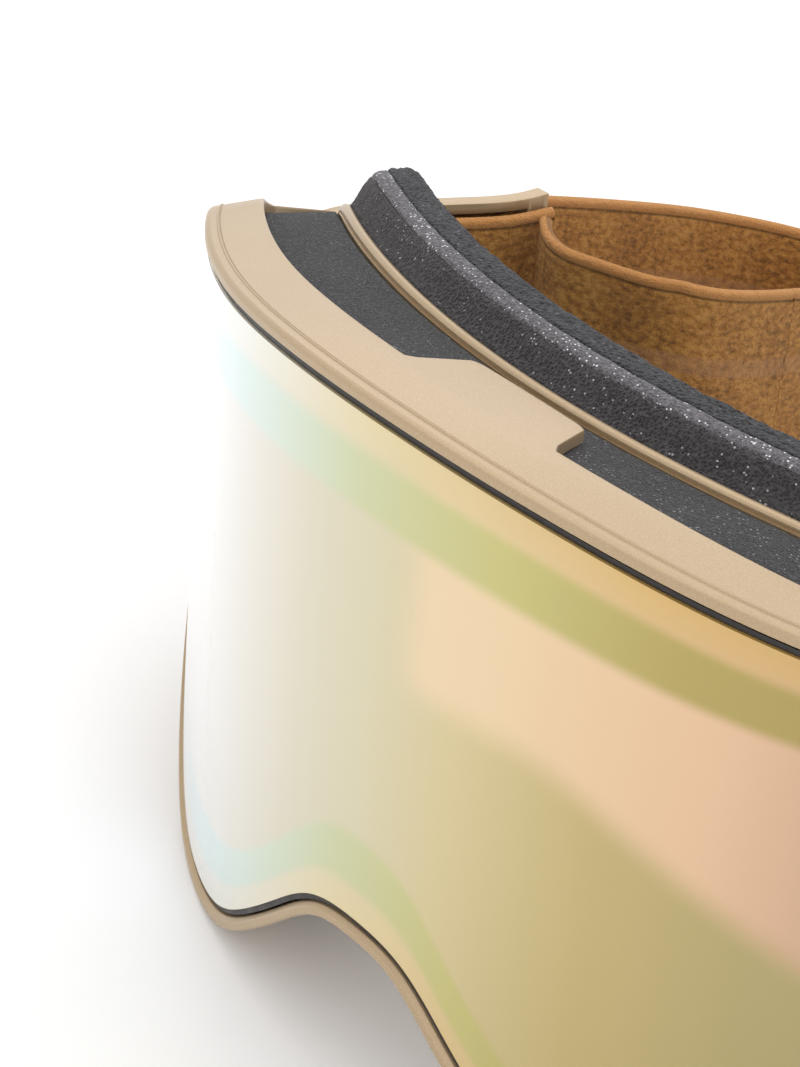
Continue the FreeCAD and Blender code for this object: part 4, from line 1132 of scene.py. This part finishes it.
def softened(node, finish, slot_name, body):
    """A copy of a frame piece with merged points, joined flat faces and rounded edges."""
    mesh = frame["nodes"][node].data.copy()
    mesh.name = node + "_soft"
    work = bmesh.new()
    work.from_mesh(mesh)
    bmesh.ops.remove_doubles(work, verts=work.verts, dist=2e-6)
    bmesh.ops.dissolve_limit(work, angle_limit=np.radians(0.6), verts=work.verts, edges=work.edges)
    work.to_mesh(mesh)
    work.free()
    mesh.polygons.foreach_set("use_smooth", np.ones(len(mesh.polygons), bool))
    piece = bpy.data.objects.new(node + "_soft", mesh)
    bpy.context.scene.collection.objects.link(piece)
    bevel = piece.modifiers.new("rounding", "BEVEL")
    bevel.width, bevel.segments = EDGE_ROUND * MM, 2
    bevel.limit_method, bevel.angle_limit = "ANGLE", np.radians(35)
    bevel.harden_normals = True
    finish.on(piece, slot_name)
    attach(piece, body)
    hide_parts(node)
    return piece


for side_name in SIDES:
    softened("outrigger_" + side_name, paint, "frame_gold", "arm_" + side_name)
    softened("slider_" + side_name, buckle, "slider_plastic", "adjuster_" + side_name)
KEPT = {"face_frame": paint, "lens_carrier": carrier, "lens_spacer": spacer, "inner_lens": inner_film,
        "lens_magnets": magnet, "frame_magnets": magnet, "grip_lines": silicone}
for node, finish in KEPT.items():
    finish.on(frame["nodes"][node])
print("kept from the frame:", sorted(KEPT))

# %% [markdown]
# ## Floor, light and camera
#
# The goggles stand on a white table in a white room, so the light comes from nearly
# everywhere, with one broad soft source above. The camera looks down at the wearer's
# left front, close, with a long lens.

# %% The stage
bpy.ops.mesh.primitive_plane_add(size=6.0, location=(0, 0, -0.0002))
floor = bpy.context.object
floor.name = "table"
table_top = Finish("white_table", (0.96, 0.96, 0.96), 0.7)
floor.data.materials.append(table_top.material)
floor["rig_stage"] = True

world = bpy.data.worlds.new("white_room")
bpy.context.scene.world = world
world.use_nodes = True
world.node_tree.nodes["Background"].inputs["Color"].default_value = (1.0, 1.0, 1.0, 1)
world.node_tree.nodes["Background"].inputs["Strength"].default_value = 1.06


def softbox(name, place, aim, width, height, power, color=(1, 1, 1)):
    light = bpy.data.lights.new(name, "AREA")
    light.shape, light.size, light.size_y = "RECTANGLE", width, height
    light.energy, light.color = power, color
    item = bpy.data.objects.new(name, light)
    bpy.context.scene.collection.objects.link(item)
    item.location = place
    item.rotation_euler = (Vector(aim) - Vector(place)).to_track_quat("-Z", "Y").to_euler()
    return item


softbox("overhead", (-0.15, 0.15, 0.9), (0, 0, 0), 0.9, 0.9, 1.6)
softbox("front_left", (0.9, -0.7, 0.6), (0, -0.05, 0.05), 0.5, 0.8, 0.7, (1.0, 0.97, 0.93))
softbox("behind", (-0.6, 0.7, 0.5), (0, 0, 0.05), 0.7, 0.5, 0.9)
bpy.context.scene.view_settings.view_transform = "Standard"

# %% The camera
AZIMUTH, ELEVATION, ROLL = np.radians(46.2), np.radians(32.4), np.radians(-5.5)
STANDPOINT = (0.2079, -0.2972, 0.2672)
level = np.array([np.sin(AZIMUTH), -np.cos(AZIMUTH), 0])
back = level * np.cos(ELEVATION) + [0, 0, np.sin(ELEVATION)]
right = np.array([np.cos(AZIMUTH), np.sin(AZIMUTH), 0])
up = np.cross(back, right)
across = np.cos(ROLL) * right - np.sin(ROLL) * up
upward = np.sin(ROLL) * right + np.cos(ROLL) * up
camera = bpy.data.objects.new("camera", bpy.data.cameras.new("camera"))
bpy.context.scene.collection.objects.link(camera)
camera.data.lens, camera.data.sensor_width = 100.6, 36
camera.data.clip_start, camera.data.clip_end = 0.01, 20
turned = Matrix([[*row] for row in np.stack([across, upward, back], 1)]).to_4x4()
camera.matrix_world = Matrix.Translation(STANDPOINT) @ turned
bpy.context.scene.camera = camera
print("camera at", [round(v, 3) for v in camera.location])

# %% [markdown]
# ## Sizes
#
# The overall size of all finished pieces together is printed, in mm.

# %% Sizes, and the end
low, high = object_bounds()
print("visual, mm:", [round((b - a) / MM, 1) for a, b in zip(low, high)])
